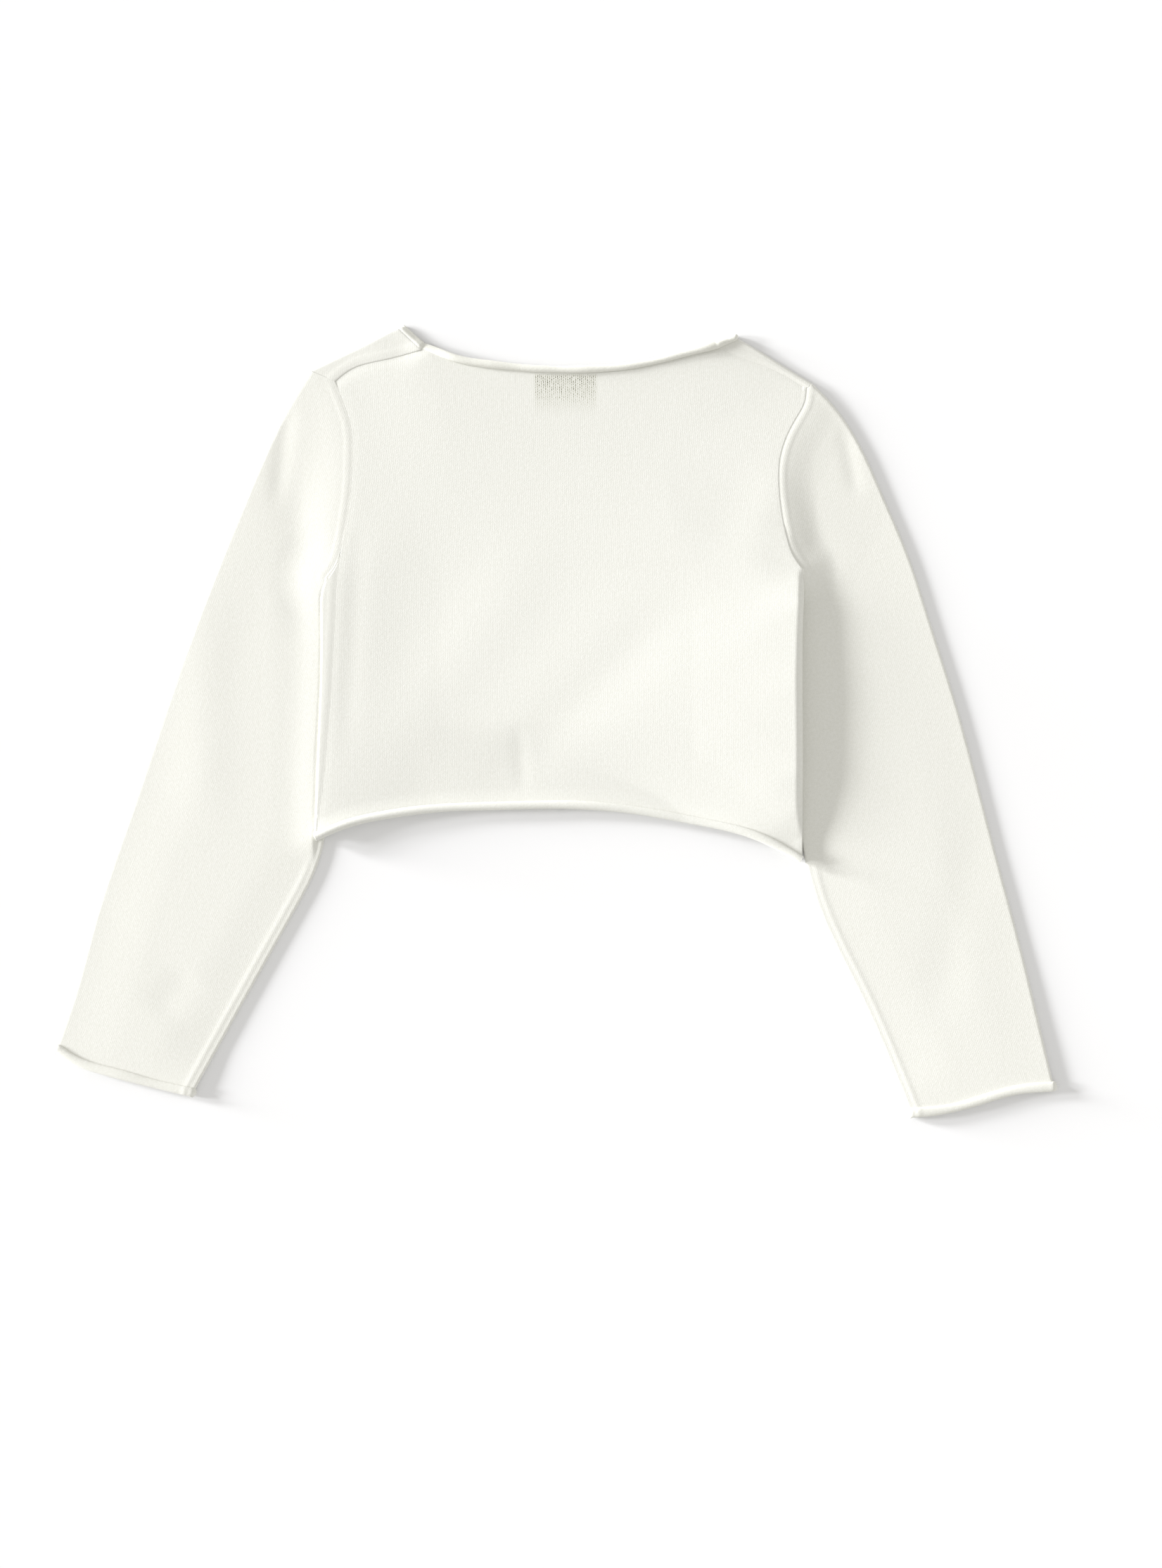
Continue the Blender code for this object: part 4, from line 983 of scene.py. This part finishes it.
# Folds of the sleeves: start and end, half width, height
SLEEVE_FOLDS = {
    LEFT: (
        ((-137.0, 158.0), (-143.0, 114.0), 4.5, -0.3),
        ((-134.0, 128.0), (-128.0, 50.0), 10.0, -0.4),
        ((-180.0, 60.0), (-180.0, -50.0), 14.0, 0.35),
        ((-188.0, -132.0), (-202.0, -150.0), 10.0, -0.3),
    ),
    RIGHT: (
        ((148.0, 146.0), (154.0, 118.0), 4.0, -0.3),
        ((214.0, -60.0), (196.0, -150.0), 12.0, -0.2),
    ),
}

# The left sleeve stands up beside the body: how high, over what width, from where, and down to
# which y
BESIDE_BODY = {LEFT: 0.8, RIGHT: 0.0}
BESIDE_WIDTH, BESIDE_FROM, BESIDE_RISE = 9.0, -0.4, 1.2
BESIDE_LOW_Y, BESIDE_FADE = -75.0, 15.0

# How the tube joins the armhole: the way over which it leaves the body's heights, its gap to the
# seam and the further gaps at the seam's two ends, and shares of its length over which its edge
# lines settle, its folds turn and its rings follow the armhole
LEAVES_ARMHOLE = {LEFT: 26.0, RIGHT: 19.0}
ARMHOLE_GAP, CORNER_GAPS, CORNER_REACH = 0.05, (0.1, 0.15), 0.05
LINES_SETTLE, FOLD_TURNS, ARMHOLE_BENDS = 0.02, 0.03, 0.2

# Rings are closer at the armhole and the cuff, and columns at the two folds
SLEEVE_ALONG = {
    "outer": packed(236, (0.0, 0.03, 3.0), (1.0, 0.02, 2.0)),
    "inner": packed(236, (0.0, 0.03, 6.0), (1.0, 0.02, 2.0)),
}
SLEEVE_ACROSS = packed(64, (0.0, 0.04, 2.0), (1.0, 0.06, 2.5))
SLEEVE_FOLD_STEPS = 8
OUTER_LINE = {side: curve(SLEEVE_OUTER[side], DENSE) for side in SLEEVE_OUTER}

# The underarm seam: how far in from the inner fold it lies, its low ridge and that one's width,
# and where along the sleeve it comes out on top
UNDERARM_SEAM, UNDERARM_RIDGE, RIDGE_WIDTH = 3.5, 0.16, 1.3
RIDGE_FROM, RIDGE_FADE = 0.5, 0.06

# Beside the armhole seam: how high the raised band is, how deep the seam and how wide its dip
ARMHOLE_WELT = {LEFT: (0.08, 0.06, 2.4), RIGHT: (0.12, 0.12, 1.8)}


def armhole_ring(side):
    """Plan points of the armhole from the shoulder fold, past its seam, to the underarm."""
    first = fold_centre(np.array(SHOULDER_FOLD[side][-1:]), corner_out(side)[None])
    return at_shares(np.concatenate([first, ARMHOLE_LINE[side]]), SLEEVE_ACROSS)


def fold_columns(before, after, out, steps):
    """Columns of the half circle that joins two layers at a fold."""
    centre = (before + after) / 2
    arm = before - centre
    radius = np.abs(arm[:, 2:])
    columns = []
    for k in range(1, steps):
        angle = math.pi * k / steps
        point = centre + arm * math.cos(angle)
        point[:, :2] += out * radius * math.sin(angle)
        columns.append(point)
    return np.stack(columns, axis=1)


def sleeve_grid(side):
    """The sleeve as rings from armhole to cuff: along the top from the outer fold to the inner,
    round the inner fold, back along the bottom, and round the outer fold."""
    armhole = armhole_ring(side)
    top_at_body, bottom_at_body = back_height(*armhole.T)[None], front_height(*armhole.T)[None]
    down_armhole = unit(armhole[-1] - armhole[-3])
    gap = ARMHOLE_GAP + CORNER_GAPS[0] * (1 - smooth(SLEEVE_ACROSS / CORNER_REACH))
    gap += CORNER_GAPS[1] * smooth((SLEEVE_ACROSS - 1 + CORNER_REACH) / CORNER_REACH)
    armhole = armhole + side_normals(armhole, side) * gap[:, None]
    share = shares_of(run_of(armhole))
    outer_along, inner_along = SLEEVE_ALONG["outer"], SLEEVE_ALONG["inner"]
    along = outer_along[:, None] * (1 - share) + inner_along[:, None] * share
    outer_level, middle_level, inner_height = (
        np.interp(along, SLEEVE_AT, levels) for levels in SLEEVE_LEVELS[side])
    cuff_lift = CUFF_LIFT * smooth((along - 1 + CUFF_RISES) / CUFF_RISES)
    outer_rim = curve(SLEEVE_OUTER[side], outer_along)
    inner_rim = curve(SLEEVE_INNER[side], inner_along)
    outer_turn = smooth(outer_along / FOLD_TURNS)[:, None]
    inner_turn = smooth(inner_along / FOLD_TURNS)[:, None]
    outer_side, inner_side = side_normals(outer_rim, side), side_normals(inner_rim, side)
    outer_out = unit(corner_out(side) * (1 - outer_turn) + outer_side * outer_turn)
    inner_out = unit(down_armhole * (1 - inner_turn) - inner_side * inner_turn)
    from_corner = np.linalg.norm(outer_rim - outer_rim[0], axis=1)
    outer_leave = smooth(from_corner / LEAVES_ARMHOLE[side])
    outer_top = top_at_body[0, 0] * (1 - outer_leave) + outer_level[:, 0] * outer_leave
    outer_low = bottom_at_body[0, 0] * (1 - outer_leave) + HALF * outer_leave
    outer_low = outer_low + cuff_lift[:, 0]
    outer_reach = (outer_top - outer_low) / 2 + HALF
    inner_reach = inner_height[:, -1] / 2 + HALF
    outer_line = outer_rim - outer_out * outer_reach[:, None]
    inner_line = inner_rim - inner_out * inner_reach[:, None]
    outer_settle, inner_settle = (1 - smooth(run / LINES_SETTLE)[:, None]
                                  for run in (outer_along, inner_along))
    outer_line += (armhole[0] - outer_line[0]) * outer_settle
    inner_line += (armhole[-1] - inner_line[0]) * inner_settle
    cuff = curve(CUFF[side], share)
    to_outer, to_inner = outer_line[-1] - cuff[0], inner_line[-1] - cuff[-1]
    cuff += (1 - share)[:, None] * to_outer + share[:, None] * to_inner
    near_body = 1 - smooth(outer_along / ARMHOLE_BENDS)
    plan = patch(armhole, cuff, outer_line, inner_line, near_body, outer_along, share)
    x, y = plan[..., 0], plan[..., 1]
    from_armhole = distance(ARMHOLE_LINE[side], x, y)
    leave = smooth(from_armhole / LEAVES_ARMHOLE[side])
    bottom = bottom_at_body * (1 - leave) + HALF * leave + cuff_lift
    from_inner = distance(INNER_LINE[side], x, y) - inner_reach[:, None]
    from_outer = distance(OUTER_LINE[side], x, y) - outer_reach[:, None]
    low = HALF + inner_height + cuff_lift
    top = middle_level + (low - middle_level) * (1 - smooth(from_inner / SLEEVE_SLOPE))
    top = top + (outer_level - middle_level) * (1 - smooth(from_outer / SLEEVE_SLOPE))
    top = top + fold_height(SLEEVE_FOLDS[side], x, y)
    outside = -inward(side, x, y)
    beside = BESIDE_BODY[side] * np.exp(-(np.maximum(outside, 0) / BESIDE_WIDTH) ** 2)
    beside *= smooth((outside - BESIDE_FROM) / BESIDE_RISE)
    top += beside * smooth((y - BESIDE_LOW_Y) / BESIDE_FADE)
    top = top_at_body * (1 - leave) + top * leave
    ridge = UNDERARM_RIDGE * np.exp(-((from_inner - UNDERARM_SEAM) / RIDGE_WIDTH) ** 2)
    top += ridge * smooth((along - RIDGE_FROM) / RIDGE_FADE)
    band, depth, width = ARMHOLE_WELT[side]
    top += band * welt(from_armhole) + dip(x, y, ((ARMHOLE_LINE[side], depth, width),))
    upper, lower = raised(plan, top), raised(plan, bottom)[:, ::-1]
    inner_fold = fold_columns(upper[:, -1], lower[:, 0], inner_out, SLEEVE_FOLD_STEPS)
    outer_fold = fold_columns(lower[:, -1], upper[:, 0], outer_out, SLEEVE_FOLD_STEPS)
    return np.concatenate([upper, inner_fold, lower, outer_fold], axis=1)


def surface_normals(grid, facing):
    """Outward normals of a grid of points: the cross product of its two directions."""
    return unit(np.cross(np.gradient(grid, axis=0), np.gradient(grid, axis=1))) * facing


def sleeve_uv(side, grid):
    """UV of a sleeve: along and across the straight line from its armhole to its cuff."""
    top_middle = curve(ARMHOLE[side], [0.5])[0]
    cuff_middle = curve(CUFF[side], [0.5])[0]
    axis = unit(cuff_middle - top_middle)
    across = np.array((axis[1], -axis[0])) * -1
    return np.stack([grid[..., 0] * across[0] + grid[..., 1] * across[1],
                     -(grid[..., 0] * axis[0] + grid[..., 1] * axis[1])], axis=2)


# Painted light: the sleeves' jersey is the back's yarn in a lighter colour, so that the sleeves come
# out as bright as they are lit.
lightened_sleeve_face = jersey("sleeve_jersey_face", (0.786, 0.787, 0.745))
lightened_sleeve_reverse = jersey("sleeve_jersey_purl", (0.784, 0.784, 0.740), purl=True)

for side, name in ((LEFT, "left"), (RIGHT, "right")):
    tube = sleeve_grid(side)
    uv = sleeve_uv(side, tube)
    shown = np.zeros(tube.shape[1])
    shown[:len(SLEEVE_ACROSS) + SLEEVE_FOLD_STEPS // 2] = 1.0
    shown[-SLEEVE_FOLD_STEPS // 2:] = 1.0
    tube, uv = sewn(tube, uv, TUCKED, 0, weight=shown * SEAM_WEIGHT[f"{name} armhole"])
    swell = swelling(run_of(tube[-1]), (0.06, 11.0, side), (0.04, 4.7, 0.0))
    rising = surface_normals(tube, -side)[-1, :, 2]
    flat = CUFF_FLAT_AT_FOLD + (CUFF_FLAT - CUFF_FLAT_AT_FOLD) * rising ** 2
    room = (tube[-1, :, 2] - HALF) / (2 * flat * np.maximum(-rising, LEAST_FALL))
    radius = np.minimum(CUFF_ROLL * swell, room)
    for _ in range(CUFF_EASES):
        radius = (np.roll(radius, 1) + 2 * radius + np.roll(radius, -1)) / 4
    tube_rolled = rolled(tube, radius, CUFF_TURN, -side, ROLL_STEPS, flat, ring=True)
    tube_rolled[..., 2] = np.maximum(tube_rolled[..., 2], HALF)
    uv = with_roll_uv(uv, tube_rolled)
    points, ((index, uv),) = one_patch(tube_rolled, uv)
    index, uv = (np.concatenate([ring, ring[:, :1]], axis=1) for ring in (index, uv))
    piece = cloth(f"sleeve_{name}_tube", points, [(index, uv)], -side,
                  (lightened_sleeve_face, lightened_sleeve_reverse), f"sleeve_{name}")


# The neck trim: one narrow jersey strip linked to the neck edge of all three panels. It rolls
# outwards, so its purl side shows, and it stands up as a round cord along the back of the neck.
TRIM_TURN, TRIM_STEPS = 300.0, 24
TRIM_ROLL, TRIM_ROLL_ON_BACK, TRIM_ROLL_AT_FOLD = 0.45, 0.95, {LEFT: 0.3, RIGHT: 0.75}
TRIM_FLAT, TRIM_FLAT_AT_FOLD = 1.0, 1.2
TRIM_PRESSED, TRIM_PRESSED_AT_FOLD = 0.8, 0.22

# How far the roll's outer side hangs at the left fold, for each mm out
TRIM_HANGS = 0.4

# The strip's foot, in under the panel's edge: out and up
TRIM_FOOT = ((-0.5, -0.9), (-0.1, -0.25), (0.25, 0.0))
FLAT_PART = 0.6
TIP_ON_BACK = 8
NORMAL_EASES, AHEAD_EASES, ROLL_EASES = 6, 4, 30


def blurred(values, times):
    """The values, each eased towards its neighbours that many times."""
    for _ in range(times):
        values = np.convolve(np.pad(values, 1, mode="edge"), (0.25, 0.5, 0.25), mode="valid")
    return values


above_centre = FRONT_STRIP_ROWS + FRONT_FOLD_STEPS + len(ARMHOLE_ROWS) + 1
neck_slice = slice(SHOULDER_COLUMNS, SHOULDER_COLUMNS + NECK_COLUMNS + 1)
left_edge = fronts[LEFT][:above_centre, 0][::-1]
right_edge = fronts[RIGHT][:above_centre, 0]
line = np.concatenate([left_edge[:-1], back_grid[0, neck_slice], right_edge[1:]])
normal = np.concatenate([
    surface_normals(fronts[LEFT], 1)[:above_centre, 0][::-1][:-1],
    surface_normals(back_grid, 1)[0, neck_slice],
    surface_normals(fronts[RIGHT], -1)[:above_centre, 0][1:],
])
normal = unit(np.stack([blurred(part, NORMAL_EASES) for part in normal.T], axis=1))
ahead = np.gradient(line, axis=0).T
ahead = unit(np.stack([blurred(part, AHEAD_EASES) for part in ahead], axis=1))
out = unit(np.cross(normal, ahead))
normal = unit(np.cross(ahead, out))
back_from, back_to = len(left_edge) - 1, len(line) - len(right_edge) + 1
over_fold = FRONT_STRIP_ROWS + FRONT_FOLD_STEPS
on_back, tip = np.zeros(len(line)), np.zeros(len(line))
on_back[back_from:back_to] = 1.0
tip[back_from - over_fold:back_from + 1 + TIP_ON_BACK] = 1.0
tip[back_to - 1 - TIP_ON_BACK:back_to + over_fold] = 1.0
on_back, tip = blurred(on_back, ROLL_EASES), blurred(tip, ROLL_EASES)
left_tip, right_tip = tip * (line[:, 0] < 0), tip * (line[:, 0] > 0)
along_neck = run_of(line)
radius = (TRIM_ROLL + TRIM_ROLL_ON_BACK * on_back + TRIM_ROLL_AT_FOLD[LEFT] * left_tip
          + TRIM_ROLL_AT_FOLD[RIGHT] * right_tip)
radius = radius * swelling(along_neck, (0.05, 9.0, 0.0), (0.04, 3.7, 0.0))
flat = TRIM_FLAT + TRIM_FLAT_AT_FOLD * left_tip
pressed = TRIM_PRESSED + (TRIM_PRESSED_AT_FOLD - TRIM_PRESSED) * left_tip
columns = [line + out * sideways + normal * up for sideways, up in TRIM_FOOT]
columns.append(line + out * (flat * FLAT_PART)[:, None])
v_columns = [np.full(len(line), v) for v in (1.0, 0.1, -0.25)] + [-flat * FLAT_PART]
for k in range(TRIM_STEPS + 1):
    angle = math.radians(TRIM_TURN) * k / TRIM_STEPS
    sideways = flat + radius * math.sin(angle)
    up = pressed * radius * (1 - math.cos(angle))
    column = line + out * sideways[:, None] + normal * up[:, None]
    column[:, 2] -= TRIM_HANGS * left_tip * sideways
    columns.append(column)
    v_columns.append(-flat - radius * angle)
trim_grid = np.stack(columns, axis=1)
trim_grid[..., 2] = np.maximum(trim_grid[..., 2], HALF)
v = np.stack(v_columns, axis=1)
trim_uv = np.stack([np.broadcast_to(along_neck[:, None], v.shape), v], axis=2)
trim_face = jersey("trim_jersey_face", (0.775, 0.775, 0.728))
trim_reverse = jersey("trim_jersey_purl", (0.77, 0.77, 0.72), purl=True, stitch=1.2)
points, patches = one_patch(trim_grid, trim_uv)
trim = cloth("neck_roll", points, patches, 1, (trim_face, trim_reverse), "neck_trim")


# The label: a small blank piece of dark woven tape, sewn inside the back of the neck. It shows
# only through the stitches.
LABEL_COLUMNS, LABEL_ROWS = 41, 29
THREADS_ACROSS, THREADS_ALONG = 0.35, 0.5
left_x, right_x, top_y, bottom_y = LABEL
x, y = np.meshgrid(np.linspace(left_x, right_x, LABEL_COLUMNS),
                   np.linspace(top_y, bottom_y, LABEL_ROWS))
label_points = np.stack([x, y, back_height(x, y) - WALL - SEAM_GAP], axis=2)
dark_tape, tape_shader = new_finish("dark_tape", {"Roughness": 0.6})
tape_place = Signal(dark_tape.node_tree).node("TexCoord", output="Object")
warp = abs((tape_place.part(0) * (math.pi / (THREADS_ACROSS * MM))).sine())
weft = abs((tape_place.part(1) * (math.pi / (THREADS_ALONG * MM))).sine())
weave = warp * 0.5 + weft * 0.5
tone = weave * 0.03 + 0.02
tone.node("CombineColor", None, {0: tone, 1: tone, 2: tone * 1.1}).into(tape_shader, "Base Color")
tape_bump = weave.node("Bump", None, {"Strength": 0.4, "Distance": 0.1 * MM, "Height": weave})
tape_bump.into(tape_shader, "Normal")
points, patches = one_patch(label_points, label_points[..., :2])
label = cloth("label_tape", points, patches, 1, (dark_tape, dark_tape), "label")
